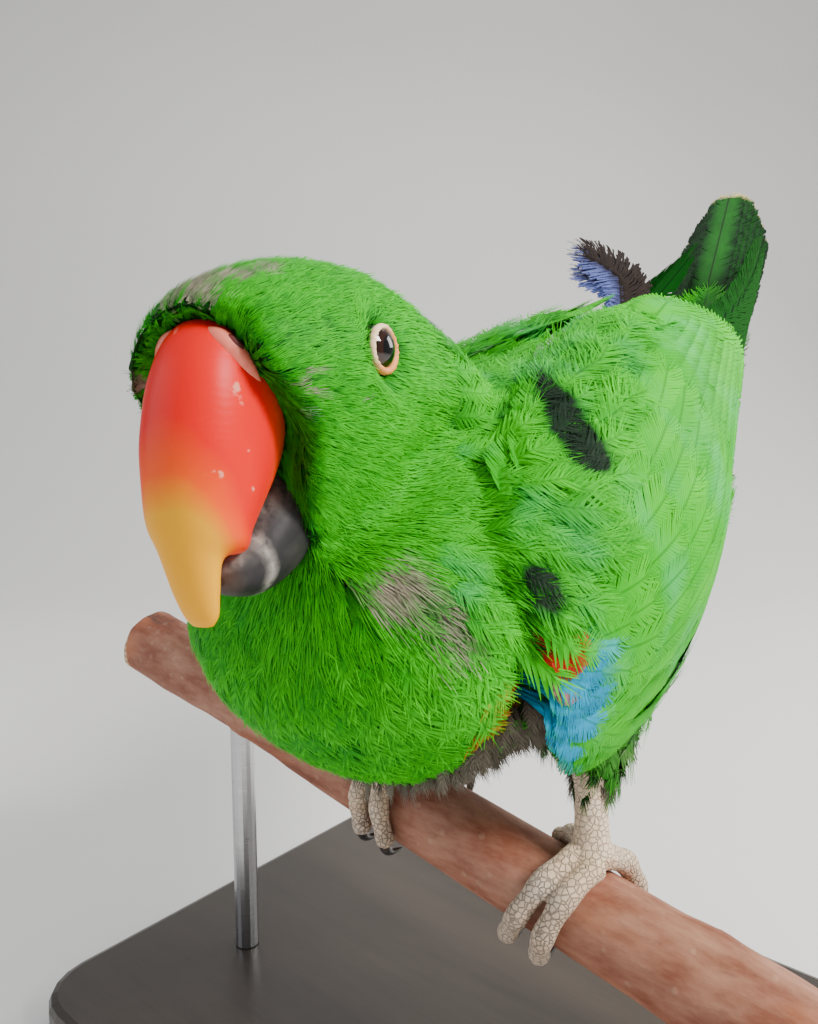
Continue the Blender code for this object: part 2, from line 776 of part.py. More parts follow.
def perch_wrap(x, turn, radius):
    """A point round the branch: turn 0 is in front of it, 90 degrees on top."""
    over = Vector((-math.sin(PERCH_RISE), 0, math.cos(PERCH_RISE)))
    angle = math.radians(turn)
    return perch_axis(x) + (Vector((0, -1, 0)) * math.cos(angle) + over * math.sin(angle)) * radius


def toe(x, side, shape):
    """One toe round the branch with raised scutes, then its claw, in a single tapering tube."""
    start, end, turn_start, turn_end = shape
    points = []
    radii = []
    for k in range(TOE_STEPS + 1):
        share = k / TOE_STEPS
        radius = TOE_RADIUS + (TOE_END_RADIUS - TOE_RADIUS) * share
        reach = PERCH_RADIUS + radius + TOE_CLEARANCE
        turn = turn_start + (turn_end - turn_start) * share
        points.append(perch_wrap(x + side * (start + (end - start) * share), turn, reach))
        radii.append(radius * (SCUTE_HIGH if k % 2 else SCUTE_LOW))
    radii[-1] *= TOE_TIP
    step = math.degrees(CLAW_LENGTH / 3 / (PERCH_RADIUS + 2)) * math.copysign(1, turn_end - turn_start)
    for k, (radius, reach) in enumerate(CLAW_ROWS):
        points.append(perch_wrap(x + side * end, turn_end + step * (k + 0.6), PERCH_RADIUS + GAP + reach))
        radii.append(radius)
    return ring_object("toe", tube_rings(points, radii, TOE_SIDES))


def leg_joints(name):
    """The foot's crown on the branch, the end of the feathers above it, and the way up between them."""
    x = FOOT_PLACES[name]
    crown = perch_wrap(x, 90, PERCH_RADIUS + GAP + CROWN_RISE)
    knee = Vector((x, KNEE_Y, THIGH_END))
    return crown, knee, (knee - crown).normalized()


def thigh_form(name, grow=0.0):
    """The feathered thigh, longer at both ends than what is left of it."""
    _, knee, shin = leg_joints(name)
    points = [Vector((knee.x, y, z)) for y, z in THIGH_LINE] + [knee - shin]
    return ring_object("thigh", tube_rings(points, [radius + grow for radius in THIGH_RADII], THIGH_SIDES))


def build_leg(name):
    """A feathered thigh, cut clear of the trunk, and a foot whose four toes hold the branch."""
    x = FOOT_PLACES[name]
    side = 1 if name == "left" else -1
    crown, knee, shin = leg_joints(name)
    whole = thigh_form(name)
    thigh = slab_of(whole, "thigh_" + name, [(knee + shin * GAP / 2, -shin)])
    bpy.data.objects.remove(whole, do_unlink=True)
    apply_boolean(thigh, [flesh("flesh_cut", GAP)], "DIFFERENCE")
    keep_largest(thigh)
    shank = tube_rings([crown, crown.lerp(knee, 0.5), knee + shin], SHANK_RADII, SHANK_SIDES)
    whole = ring_object("shank", shank)
    foot = slab_of(whole, "foot_" + name, [(knee - shin * GAP / 2, shin)])
    bpy.data.objects.remove(whole, do_unlink=True)
    toes = [toe(x, side, shape) for shape in TOES[name]]
    apply_boolean(foot, toes + [ball("pad", crown, PAD_RADIUS, 12, 8)], "UNION", "MANIFOLD")
    held = [perch_axis(x - FOOT_REACH), perch_axis(x + FOOT_REACH)]
    grip = ring_object("grip", tube_rings(held, [PERCH_RADIUS + GAP] * 2, 2 * PERCH_SIDES))
    apply_boolean(foot, [grip], "DIFFERENCE")
    keep_largest(foot)


# Perch and stand


def build_perch():
    """The cut length of branch: round where the feet hold it, knobbly towards its ends."""
    rng = random.Random(4)
    rings = []
    for k in range(PERCH_STEPS + 1):
        x = PERCH_RIGHT_END + (PERCH_LEFT_END - PERCH_RIGHT_END) * k / PERCH_STEPS
        free = max(0, min(1, (abs(x - PERCH_GRIP_X) - PERCH_ROUND) / PERCH_FADE))
        bend = PERCH_BEND[0] * math.sin(x / PERCH_BEND[1])
        ring = []
        for i in range(PERCH_SIDES):
            swell = bend + PERCH_SWELL[0] * math.sin(x / PERCH_SWELL[1] + i)
            swell += rng.uniform(-PERCH_ROUGH, PERCH_ROUGH)
            ring.append(perch_wrap(x, 360 * i / PERCH_SIDES, PERCH_RADIUS + free * swell))
        rings.append(ring)
    perch = ring_object("perch", rings)
    holes = [rod("rod_hole", x, GAP) for x in ROD_PLACES]
    apply_boolean(perch, holes, "DIFFERENCE")
    keep_largest(perch)


def rod(name, x, grow=0.0):
    """A rod from the base's top into the branch's underside."""
    foot = Vector((x, 0, BASE_SIZE[2] + GAP - GRIP_POINT.z - grow))
    head = perch_axis(x) - UP * (PERCH_RADIUS - ROD_SOCKET - grow)
    return ring_object(name, tube_rings([foot, head], [ROD_RADIUS + grow] * 2, ROD_SIDES))


def build_stand():
    mesh = bmesh.new()
    wide, deep, tall = (part * MM for part in BASE_SIZE)
    place = Matrix.Translation((0, 0, tall / 2)) @ Matrix.Diagonal((wide, deep, tall, 1))
    bmesh.ops.create_cube(mesh, size=1, matrix=place)
    upright = [edge for edge in mesh.edges if abs(edge.verts[0].co.z - edge.verts[1].co.z) > MM]
    bmesh.ops.bevel(
        mesh, geom=upright, offset=BASE_CORNER * MM, segments=5, profile=0.5, affect="EDGES", material=-1
    )
    rim = [edge for edge in mesh.edges if all(vert.co.z > tall - MM for vert in edge.verts)]
    bmesh.ops.bevel(
        mesh, geom=rim, offset=BASE_RIM * MM, segments=2, profile=0.5, affect="EDGES", material=-1
    )
    object_from("stand_base", mesh)
    for name, x in zip(("left", "right"), ROD_PLACES):
        rod("stand_rod_" + name, x)


FINISHES = {
    "head": ("head_green", (0.10, 0.52, 0.05), 0.6),
    "neck": ("neck_green", (0.10, 0.50, 0.05), 0.6),
    "torso": ("body_green", (0.16, 0.58, 0.07), 0.65),
    "rump": ("rump_green", (0.14, 0.55, 0.07), 0.65),
    "tail": ("tail_green", (0.03, 0.20, 0.04), 0.55),
    "wing_left": ("wing_green", (0.20, 0.66, 0.12), 0.5),
    "wing_right": ("wing_green", (0.20, 0.66, 0.12), 0.5),
    "thigh_left": ("thigh_green", (0.08, 0.30, 0.05), 0.7),
    "thigh_right": ("thigh_green", (0.08, 0.30, 0.05), 0.7),
    "foot_left": ("foot_skin", (0.80, 0.66, 0.46), 0.7),
    "foot_right": ("foot_skin", (0.80, 0.66, 0.46), 0.7),
    "eye_left": ("eye_dark", (0.03, 0.02, 0.02), 0.05),
    "eye_right": ("eye_dark", (0.03, 0.02, 0.02), 0.05),
    "bill_upper": ("bill_red", (0.90, 0.12, 0.03), 0.3),
    "bill_lower": ("bill_black", (0.04, 0.04, 0.045), 0.4),
    "perch": ("bark", (0.42, 0.20, 0.13), 0.8),
    "stand_base": ("stand_wood", (0.05, 0.045, 0.04), 0.4),
    "stand_rod_left": ("stand_steel", (0.60, 0.60, 0.62), 0.3, 1.0),
    "stand_rod_right": ("stand_steel", (0.60, 0.60, 0.62), 0.3, 1.0),
}


def finish_all():
    made = {}
    for name, values in FINISHES.items():
        target = bpy.data.objects[name]
        target.data.materials.clear()
        if values[0] not in made:
            made[values[0]] = material(*values)
        target.data.materials.append(made[values[0]])
        shade(target)


def main():
    clear_scene()
    head, tail = build_flesh()
    build_head(head)
    build_eyes_and_bill()
    for side in (1, -1):
        build_wing(side)
    build_tail(tail)
    for name in FOOT_PLACES:
        build_leg(name)
    build_perch()
    build_stand()
    finish_all()


main()
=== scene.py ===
"""The looks of the perched green parrot: skin, plumage, bill, eyes, feet, branch, stand and stage.

The bird faces -Y with its left side at +X. Its own sizes are in millimetres, measured from the point
of the branch's axis between its feet, as in the solids that it is drawn over.
"""

import math

import bmesh
import bpy
import numpy as np
from bpy.props import FloatProperty, FloatVectorProperty, IntProperty, PointerProperty
from mathutils import Matrix, Vector
from mathutils.bvhtree import BVHTree

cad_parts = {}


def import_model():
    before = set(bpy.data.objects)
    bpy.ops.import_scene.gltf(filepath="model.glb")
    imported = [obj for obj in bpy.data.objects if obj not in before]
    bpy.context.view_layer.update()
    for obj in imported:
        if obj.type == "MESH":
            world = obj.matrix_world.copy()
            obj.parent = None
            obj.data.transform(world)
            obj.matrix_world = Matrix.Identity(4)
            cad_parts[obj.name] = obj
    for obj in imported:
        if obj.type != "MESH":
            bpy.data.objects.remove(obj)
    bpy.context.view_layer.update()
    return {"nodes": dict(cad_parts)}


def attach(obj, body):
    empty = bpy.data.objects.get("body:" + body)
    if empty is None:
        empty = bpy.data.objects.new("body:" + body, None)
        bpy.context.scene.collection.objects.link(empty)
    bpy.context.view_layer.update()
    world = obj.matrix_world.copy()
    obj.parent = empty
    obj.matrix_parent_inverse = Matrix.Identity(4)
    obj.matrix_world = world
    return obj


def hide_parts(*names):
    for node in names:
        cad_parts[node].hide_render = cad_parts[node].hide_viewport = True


bl_info = {
    "name": "Perched Parrot Looks",
    "version": (1, 0, 0),
    "blender": (4, 5, 0),
    "location": "View3D > Sidebar > Parrot",
    "description": "Dresses the solids of a perched parrot in skin, feathers, horn and bark",
    "category": "Object",
}

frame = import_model()

MM = 0.001
UP = Vector((0, 0, 1))
PIECE_LIMIT = 190000
# Width of one feather's patch on the unrolled skin
PATCH_WIDTH = 0.003

# Where the branch's axis passes between the feet, from the middle of the base's underside
GRIP_POINT = Vector((8, -22, 76))

# Perch
PERCH_RADIUS = 9.6
PERCH_RISE = math.radians(-10.3)
PERCH_LEFT_END = 84
PERCH_RIGHT_END = -124
PERCH_GRIP_X = 8
PERCH_ROUND = 44
PERCH_FADE = 18
PERCH_SIDES = 48
PERCH_STEPS = 120

# Head, in its own frame: forward, left and up from the point midway between the eyes
HEAD_CENTRE = Vector((7, -54, 106.7))
HEAD_YAW = math.radians(15)
HEAD_ROLL = math.radians(2)
HEAD_CUT = ((8, -37), (-31, 9))
EYE_PLACE = (1.5, 13.6, -0.8)
EYE_RADIUS = 5.2
# The feathered fill of the face round the bill's root, and of the brow over its ridge
FILL_PLACE = (8, 0, -7)
FILL_SIZE = (17.5, 12.2, 12)
BROW_PLACE = (15.5, 0, 0.5)
BROW_SIZE = (9.5, 7, 5)
# How far forward the feathers meet the bill's side, against the height, and how fast the face grows outwards
FACE_LINE = [
    (-36, 16.0), (-33, 12.5), (-28, 11.2), (-23, 11.4), (-20.5, 12.6), (-17, 13.0),
    (-14, 12.8), (-11.8, 13.2), (-9.8, 14.6), (-6.7, 17.2), (-5.2, 19.0), (-3.9, 21.2),
    (-2, 22.4), (0, 23.0), (3.5, 24.2), (6, 29.0), (9, 36.0),
]
FACE_SLOPE = 0.62
# Where the lie of the head's feathers starts from
BILL_ROOT = (27, 0, -7)

# Bill, in the head's frame: forward and up of the ridge, forward and up of the cutting edge, half width
UPPER_BILL_ROWS = [
    (18.0, 3.5, 9.0, -14.0, 7.0),
    (25.0, 3.4, 11.5, -18.0, 8.3),
    (29.5, -2.0, 14.0, -21.0, 8.8),
    (32.0, -10.5, 17.0, -24.0, 8.6),
    (32.6, -18.0, 19.6, -27.2, 7.8),
    (32.3, -23.5, 21.0, -29.5, 7.2),
    (31.5, -28.0, 24.8, -29.8, 4.9),
    (29.8, -34.0, 25.2, -34.0, 3.7),
    (28.3, -37.5, 25.2, -37.3, 2.9),
    (27.3, -39.1, 25.6, -38.9, 1.8),
]
LOWER_BILL_ROWS = [
    (9.0, -19.5, 7.5, -29.5, 7.4),
    (12.0, -18.4, 9.0, -33.4, 8.8),
    (16.0, -21.0, 12.5, -35.6, 8.4),
    (20.0, -26.5, 17.5, -36.6, 6.8),
    (23.2, -30.0, 21.5, -35.6, 4.6),
    (24.4, -31.8, 23.6, -34.2, 2.2),
]
BILL_SIDES = 48
BILL_STEPS = 64
CERE_ARC = [(25.2, 2.4, 2.0), (24.9, 4.2, 0.9), (24.0, 5.8, -0.9), (22.8, 7.0, -3.2), (21.0, 7.7, -5.4)]
CERE_RADII = (0.5, 1.3, 1.55, 1.3, 0.5)
NOSTRIL_PLACE = (24.3, 6.6, -0.1)
NOSTRIL_RUN = Vector((-0.39, 0.52, -0.76))

# Wings: x, y, z of the middle, half width, height over and under it, angles of the lower and upper edge
WING_ROWS = [
    (8.0, -37.0, 58.5, 35.8, 32.3, 36.8, -14, 30),
    (7.8, -28.0, 60, 36.8, 34.2, 39.5, -26, 46),
    (7.5, -12.0, 63, 37.6, 36.6, 43, -36, 58),
    (7.0, 8.0, 67.5, 37.5, 38, 44.5, -38, 68),
    (6.5, 31.0, 74.5, 35.5, 38, 43, -34, 76),
    (6.0, 55.0, 84, 31, 36, 37, -23, 80),
    (5.0, 80.0, 97, 25.5, 30, 28, -10, 82),
    (4.0, 105.0, 112, 20, 23, 20, 2, 82),
    (2.0, 130.0, 127.5, 16, 17, 14, 8, 82),
    (0.0, 155.0, 143.5, 13, 12, 10, 12, 82),
    (-2.0, 180.0, 159.5, 10.5, 8, 7, 16, 80),
]
WING_BODY_END = 0.54
WING_THICKNESS = 5.6
WING_LIFT = 0.7
RIGHT_WING_RAISE = 4.0
PAD_STEPS = 30
PAD_ACROSS = 24

RAISED_ROOT = Vector((-3, 70, 114))
RAISED_ROOT_STEP = Vector((-1.8, 3, 0.6))
RAISED_TIP = Vector((-24, 98, 150))
RAISED_TIP_STEP = Vector((-4.2, 6.5, 2.2))
RAISED_FACE = Vector((0.25, -0.75, 0.6))
RAISED_BOW = 13

# Tail
TAIL_ROOT = Vector((2.2, 132, 112.5))
TAIL_TURN = math.radians(12.4)
TAIL_PITCH = math.radians(40)
TAIL_LENGTH = 116
TAIL_FEATHERS = 12
TAIL_FAN = math.radians(0.25)
TAIL_ROOT_SPACING = 1.45
TAIL_STEPPING = 0.8
TAIL_HIGHEST = 3.2
TAIL_LAYER = 0.72
TAIL_COVERT_ROWS = 5
TAIL_COVERTS = 7

# Legs
FOOT_PLACES = {"left": 34, "right": -21}
CROWN_RISE = 3.2
PAD_RADIUS = 5.0
TOES = {
    "left": [(-1.9, -11, 82, -46), (2.1, -3.4, 80, -50), (2.0, 8.4, 100, 196), (-2.2, -12.4, 100, 158)],
    "right": [(-1.9, -11, 82, -20), (2.1, -3.4, 80, -24), (2.0, 8.4, 100, 196), (-2.2, -17.0, 100, 140)],
}
TOE_RADIUS = 2.7
TOE_END_RADIUS = 2.2
TOE_CLEARANCE = 0.55
CLAW_LENGTH = 8
SHANK_RADII = (4.0, 3.5, 3.9)
KNEE_Y = 2.5
THIGH_END = 22.5
FOOT_VOXEL = 0.42

# Camera, from the photo's view
CAMERA_PLACE = (0.118, -0.169, 0.1737)
CAMERA_TURN = math.radians(40)
CAMERA_PITCH = math.radians(7)
CAMERA_LENS = 28.8


# Geometry shared with the solids


def blend_rows(rows, t):
    """The row at t, from 0 to 1, on a smooth curve through a table of rows."""
    place = min(max(t, 0), 1) * (len(rows) - 1)
    i = min(int(place), len(rows) - 2)
    u = place - i
    before, near, far, after = (rows[min(max(k, 0), len(rows) - 1)] for k in range(i - 1, i + 3))
    return tuple(
        0.5 * (2 * q + (r - p) * u + (2 * p - 5 * q + 4 * r - s) * u**2 + (3 * q - p - 3 * r + s) * u**3)
        for p, q, r, s in zip(before, near, far, after)
    )


def world(point):
    """A point of the bird in millimetres, in the model's frame in metres."""
    return (GRIP_POINT + Vector(point)) * MM


def head_axes():
    forward = Vector((math.sin(HEAD_YAW), -math.cos(HEAD_YAW), 0))
    left = Vector((math.cos(HEAD_YAW), math.sin(HEAD_YAW), 0))
    roll = Matrix.Rotation(HEAD_ROLL, 3, forward)
    return forward, roll @ left, roll @ UP


def head_point(forward, left, up):
    ahead, aside, lift = head_axes()
    return HEAD_CENTRE + ahead * forward + aside * left + lift * up


def head_coordinates(points):
    """Forward, left and up of an array of the bird's points, in the head's frame."""
    axes = np.array([list(axis) for axis in head_axes()])
    return (points - np.array(HEAD_CENTRE)) @ axes.T


def from_head(head):
    """The bird's points of an array of forward, left and up in the head's frame."""
    axes = np.array([list(axis) for axis in head_axes()])
    return head @ axes + np.array(HEAD_CENTRE)


def wing_frame(t):
    """The middle, side and lift directions and sizes of a wing at t."""
    row = blend_rows(WING_ROWS, t)
    ahead = Vector(blend_rows(WING_ROWS, t + 0.01)[:3]) - Vector(blend_rows(WING_ROWS, t - 0.01)[:3])
    along = ahead.normalized()
    side = along.cross(UP).normalized()
    return Vector(row[:3]), side, side.cross(along), row[3:]


def wing_point(side, t, angle, out):
    """A point over the folded wing's sheet. Angles run from the flank up to the back on either side."""
    if side < 0:
        out += RIGHT_WING_RAISE * max(t - 0.4, 0)
        angle = 180 - angle
    middle, across, lift, sizes = wing_frame(t)
    wide, over, under = sizes[:3]
    turn = math.radians(angle)
    tall = over if math.sin(turn) > 0 else under
    return middle + across * (wide + out) * math.cos(turn) + lift * (tall + out) * math.sin(turn)


def perch_axis(x):
    """The point of the branch's axis at x."""
    return Vector((x, 0, x * math.tan(PERCH_RISE)))


def perch_wrap(x, turn, radius):
    """A point round the branch: turn 0 is in front of it, 90 degrees on top."""
    over = Vector((-math.sin(PERCH_RISE), 0, math.cos(PERCH_RISE)))
    angle = math.radians(turn)
    return perch_axis(x) + (Vector((0, -1, 0)) * math.cos(angle) + over * math.sin(angle)) * radius


def tail_axes():
    level = Vector((-math.sin(TAIL_TURN), math.cos(TAIL_TURN), 0))
    ahead = level * math.cos(TAIL_PITCH) + UP * math.sin(TAIL_PITCH)
    aside = ahead.cross(UP).normalized()
    return ahead, aside, aside.cross(ahead)


def unit(ways):
    """An array of directions, each made one long."""
    return ways / np.maximum(np.linalg.norm(ways, axis=-1, keepdims=True), 1e-6)


def smooth_step(value, low, high):
    """0 under low, 1 over high and smooth between them, for a number or an array."""
    share = np.clip((value - low) / (high - low), 0, 1)
    return share * share * (3 - 2 * share)


# Mesh helpers


def object_from(name, mesh):
    """An object that holds a bmesh, which it frees."""
    data = bpy.data.meshes.new(name)
    mesh.to_mesh(data)
    mesh.free()
    data.shade_smooth()
    made = bpy.data.objects.new(name, data)
    bpy.context.scene.collection.objects.link(made)
    return made


def skin_rings(mesh, rings):
    """One closed body through rings of points that all have the same count."""
    ring = [mesh.verts.new(world(point)) for point in rings[0]]
    edges = [mesh.edges.new((ring[i - 1], ring[i])) for i in range(len(ring))]
    bmesh.ops.contextual_create(mesh, geom=edges)
    for points in rings[1:]:
        made = bmesh.ops.extrude_edge_only(mesh, edges=edges)["geom"]
        fresh = {part for part in made if isinstance(part, bmesh.types.BMVert)}
        ring = [next(e.other_vert(v) for e in v.link_edges if e.other_vert(v) in fresh) for v in ring]
        edges = [mesh.edges.get((ring[i - 1], ring[i])) for i in range(len(ring))]
        for vert, point in zip(ring, points):
            vert.co = world(point)
    bmesh.ops.contextual_create(mesh, geom=edges)
    bmesh.ops.recalc_face_normals(mesh, faces=mesh.faces)


def ring_object(name, rings):
    mesh = bmesh.new()
    skin_rings(mesh, rings)
    return object_from(name, mesh)


def tube_rings(points, radii, sides):
    """Rings round a path of points, each with its own radius."""
    rings = []
    for i, point in enumerate(points):
        ahead = points[min(i + 1, len(points) - 1)] - points[max(i - 1, 0)]
        turned = ahead.to_track_quat("Z", "Y").to_matrix()
        ring = []
        for k in range(sides):
            turn = 2 * math.pi * k / sides
            ring.append(point + turned @ Vector((math.cos(turn), math.sin(turn), 0)) * radii[i])
        rings.append(ring)
    return rings


def finished(thing, finish, slot, *nodes):
    """Gives a piece its material, hangs it under the root and hides the nodes that it stands for; its slot is
    not used.
    """
    thing.data.materials.clear()
    thing.data.materials.append(finish)
    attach(thing, "root")
    if nodes:
        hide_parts(*nodes)
    return thing


def bird_arrays(data):
    """The points of a mesh in the bird's millimetres and its triangles, as arrays."""
    points = np.empty(len(data.vertices) * 3)
    data.vertices.foreach_get("co", points)
    points = points.reshape(-1, 3) / MM - np.array(GRIP_POINT)
    data.calc_loop_triangles()
    triangles = np.empty(len(data.loop_triangles) * 3, dtype=np.int32)
    data.loop_triangles.foreach_get("vertices", triangles)
    return points, triangles.reshape(-1, 3)


def baked(thing):
    """Applies an object's modifiers to its mesh, which is smooth from then on."""
    graph = bpy.context.evaluated_depsgraph_get()
    data = bpy.data.meshes.new_from_object(thing.evaluated_get(graph))
    thing.modifiers.clear()
    thing.data = data
    data.shade_smooth()


def add_voxels(thing, size):
    """Has one closed surface made of all that an object's mesh holds."""
    remesh = thing.modifiers.new("voxels", "REMESH")
    remesh.mode = "VOXEL"
    remesh.voxel_size = size * MM


def soften(thing, rounds, factor=0.6):
    """Applies an object's modifiers and then some rounds of smoothing."""
    smooth = thing.modifiers.new("soften", "SMOOTH")
    smooth.factor = factor
    smooth.iterations = rounds
    baked(thing)


# Materials


class Value:
    """A shader socket on which Python's arithmetic adds Math nodes."""

    def __init__(self, tree, socket):
        self.tree = tree
        self.socket = socket

    def math(self, operation, *items):
        node = self.tree.nodes.new("ShaderNodeMath")
        node.operation = operation
        for place, item in zip(node.inputs, items):
            if isinstance(item, Value):
                self.tree.links.new(item.socket, place)
            else:
                place.default_value = item
        return Value(self.tree, node.outputs[0])

    def __add__(self, other):
        return self.math("ADD", self, other)

    def __radd__(self, other):
        return self.math("ADD", other, self)

    def __sub__(self, other):
        return self.math("SUBTRACT", self, other)

    def __rsub__(self, other):
        return self.math("SUBTRACT", other, self)

    def __mul__(self, other):
        return self.math("MULTIPLY", self, other)

    def __rmul__(self, other):
        return self.math("MULTIPLY", other, self)

    def __truediv__(self, other):
        return self.math("DIVIDE", self, other)

    def __pow__(self, other):
        return self.math("POWER", self, other)

    def __abs__(self):
        return self.math("ABSOLUTE", self)

    def sine(self):
        return self.math("SINE", self)

    def clamped(self):
        node = self.tree.nodes.new("ShaderNodeClamp")
        self.tree.links.new(self.socket, node.inputs["Value"])
        return Value(self.tree, node.outputs[0])

    def step(self, low, high):
        """0 under low and 1 over high, straight between them."""
        return ((self - low) / (high - low)).clamped()


class Finish:
    """A material and the nodes that feed its one shader."""

    def __init__(self, name, **constants):
        self.material = bpy.data.materials.new(name)
        self.material.use_nodes = True
        self.tree = self.material.node_tree
        self.shader = self.tree.nodes["Principled BSDF"]
        for key, value in constants.items():
            self.shader.inputs[key.replace("_", " ")].default_value = value

    def add(self, kind, settings=None, sockets=None, output=0):
        """A node of a kind with its settings and then its sockets' values or links; gives one output."""
        node = self.tree.nodes.new(kind)
        for key, value in (settings or {}).items():
            if key == "stops":
                ramp = node.color_ramp
                ramp.elements[0].position = value[0][0]
                ramp.elements[-1].position = value[-1][0]
                for place, _ in value[1:-1]:
                    ramp.elements.new(place)
                for element, (_, colour) in zip(ramp.elements, value):
                    element.color = (*colour, 1)
            else:
                setattr(node, key, value)
        for key, value in (sockets or {}).items():
            if isinstance(value, Value):
                self.tree.links.new(value.socket, node.inputs[key])
            else:
                node.inputs[key].default_value = value
        return Value(self.tree, node.outputs[output])

    def feed(self, name, value):
        """Links a value to a socket of the shader."""
        self.tree.links.new(value.socket, self.shader.inputs[name])

    def place(self):
        return self.add("ShaderNodeTexCoord", output="Object")

    def noise(self, scale, detail=3.0, vector=None, rough=0.5):
        sockets = {"Scale": scale, "Detail": detail, "Roughness": rough}
        sockets["Vector"] = vector if vector else self.place()
        return self.add("ShaderNodeTexNoise", None, sockets)

    def attribute(self, name, output="Fac"):
        return self.add("ShaderNodeAttribute", {"attribute_name": name}, None, output)

    def split(self, vector):
        node = self.tree.nodes.new("ShaderNodeSeparateXYZ")
        self.tree.links.new(vector.socket, node.inputs[0])
        return [Value(self.tree, socket) for socket in node.outputs]

    def ramp(self, value, stops):
        return self.add("ShaderNodeValToRGB", {"stops": stops}, {"Fac": value})

    def mix(self, factor, first, second, blend="MIX"):
        """Two colours mixed by a factor; a plain colour has three numbers."""
        sockets = {0: factor}
        for key, item in ((6, first), (7, second)):
            sockets[key] = item if isinstance(item, Value) else (*item, 1)
        return self.add("ShaderNodeMix", {"data_type": "RGBA", "blend_type": blend}, sockets, 2)

    def dot(self, vector, axis):
        """How far a place in the model's frame lies along an axis, in millimetres from the head's centre."""
        moved = self.add(
            "ShaderNodeVectorMath", {"operation": "SUBTRACT"}, {0: vector, 1: tuple(world(HEAD_CENTRE))}
        )
        node = self.tree.nodes.new("ShaderNodeVectorMath")
        node.operation = "DOT_PRODUCT"
        self.tree.links.new(moved.socket, node.inputs[0])
        node.inputs[1].default_value = tuple(axis / MM)
        return Value(self.tree, node.outputs["Value"])

    def bump(self, height, strength, distance):
        sockets = {"Height": height, "Strength": strength, "Distance": distance}
        self.feed("Normal", self.add("ShaderNodeBump", None, sockets))


# Settings


def scaled(tint, share):
    """A colour with each part at a share of its strength."""
    return tuple(share * part for part in tint)


def colour(name, description, default):
    return FloatVectorProperty(
        name=name, description=description, default=default, subtype="COLOR", size=3, min=0, max=1
    )


class PlumageSettings(bpy.types.PropertyGroup):
    """Sizes and colours of the feathers."""

    deep_green: colour("Deep green", "Feathers in the depth of the coat", (0.003, 0.045, 0.003))
    head_green: colour("Head green", "Middle of the head's feathers", (0.014, 0.33, 0.003))
    lime_green: colour("Lime green", "Tips of the head's and body's feathers", (0.075, 0.72, 0.005))
    wing_green: colour("Wing green", "Middle of the wings' coverts", (0.022, 0.4, 0.004))
    wing_pale: colour("Pale wing green", "Tips of the wings' coverts", (0.08, 0.64, 0.01))
    # Tail green is the feathers' own dark green darkened further with painted shade; the wings' long feathers
    # share it
    tail_green: colour("Tail green", "Tail feathers and the wings' long feathers", (0.006, 0.075, 0.006))
    # The wings' bluish sheen is painted into their colour
    sheen_blue: colour("Sheen", "Bluish bloom of the wings' coverts", (0.08, 0.58, 0.24))
    turquoise: colour("Turquoise", "Patches at the bend of the wing", (0.001, 0.44, 0.8))
    scarlet: colour("Scarlet", "Feathers under the wing and on the flank", (0.75, 0.02, 0.02))
    worn_grey: colour("Worn grey", "Worn feathers of the forehead, breast and belly", (0.16, 0.135, 0.1))
    worn_pale: colour("Worn white", "Bleached ends of the wings' feathers", (0.62, 0.66, 0.6))
    violet: colour("Violet blue", "Outer vanes of the raised feathers", (0.2, 0.24, 0.62))
    tail_tip: colour("Tail tip", "The narrow ends of the tail feathers", (0.7, 0.6, 0.25))
    coat_depth: FloatProperty(
        name="Coat depth",
        description="How far the skin of the body lies under the tips of its feathers",
        default=2.6 * MM,
        min=0.5 * MM,
        max=6 * MM,
        unit="LENGTH",
    )
    seed: IntProperty(name="Seed", description="Start of the feathers' random spread", default=7, min=0)


class HornSettings(bpy.types.PropertyGroup):
    """Colours of the bill, eyes, feet and claws."""

    coral: colour("Coral red", "Middle of the upper bill", (0.8, 0.004, 0.003))
    orange: colour("Orange", "Rims of the upper bill", (0.95, 0.085, 0.002))
    amber: colour("Amber", "Lower third and tip of the upper bill", (0.9, 0.4, 0.0))
    flesh: colour("Flesh", "Bare skin over the bill's root", (0.8, 0.13, 0.08))
    black_horn: colour("Black horn", "Lower bill and claws", (0.022, 0.02, 0.022))
    lid: colour("Lid", "Bare ring round the eye", (0.85, 0.3, 0.07))
    iris: colour("Iris", "Ring round the pupil", (0.035, 0.012, 0.005))
    foot: colour("Foot", "Scales of the feet", (0.82, 0.6, 0.4))
    foot_dark: colour("Foot shade", "Grey between and on the scales near the claws", (0.2, 0.16, 0.14))


class StandSettings(bpy.types.PropertyGroup):
    """Colours of the branch, the stand and the stage, and the strength of the light."""

    bark: colour("Bark", "Smooth bark of the branch", (0.24, 0.07, 0.035))
    bark_pale: colour("Pale bark", "Rubbed places of the bark", (0.46, 0.22, 0.14))
    bark_dark: colour("Dark bark", "Cracks and knots", (0.06, 0.024, 0.016))
    cut_wood: colour("Cut wood", "Sawn ends of the branch", (0.68, 0.46, 0.27))
    stain: colour("Stain", "Wood of the stand's base", (0.05, 0.036, 0.027))
    steel: colour("Steel", "Rods of the stand", (0.6, 0.6, 0.62))
    floor: colour("Floor", "Floor and backdrop", (0.82, 0.81, 0.79))
    light: FloatProperty(
        name="Light",
        description="Strength of the studio lights",
        default=1.0,
        min=0.1,
        max=5,
        subtype="FACTOR",
    )


def plumage():
    return bpy.context.scene.parrot_plumage


def horn():
    return bpy.context.scene.parrot_horn


def stand():
    return bpy.context.scene.parrot_stand


# Coat: what grows where


BILL_ROOT_POINT = np.array(head_point(*BILL_ROOT))
# Depth of the coat and length of its feathers against the distance from the bill's root
COAT_REACH = (4, 14, 30, 48, 70, 120)
COAT_DEPTHS = (0.6, 1.0, 1.6, 2.2, 2.6, 2.6)
FEATHER_LENGTHS = (3.2, 4.6, 7.2, 11.0, 16.0, 17.0)

# The lie of the trunk's feathers and its fall over the breast
TRUNK_LIE = (-0.03, 0.93, 0.30)
BREAST_FALL = 1.5
# How far the underside of the breast and belly is drawn up
BELLY_LIFT = 6.5

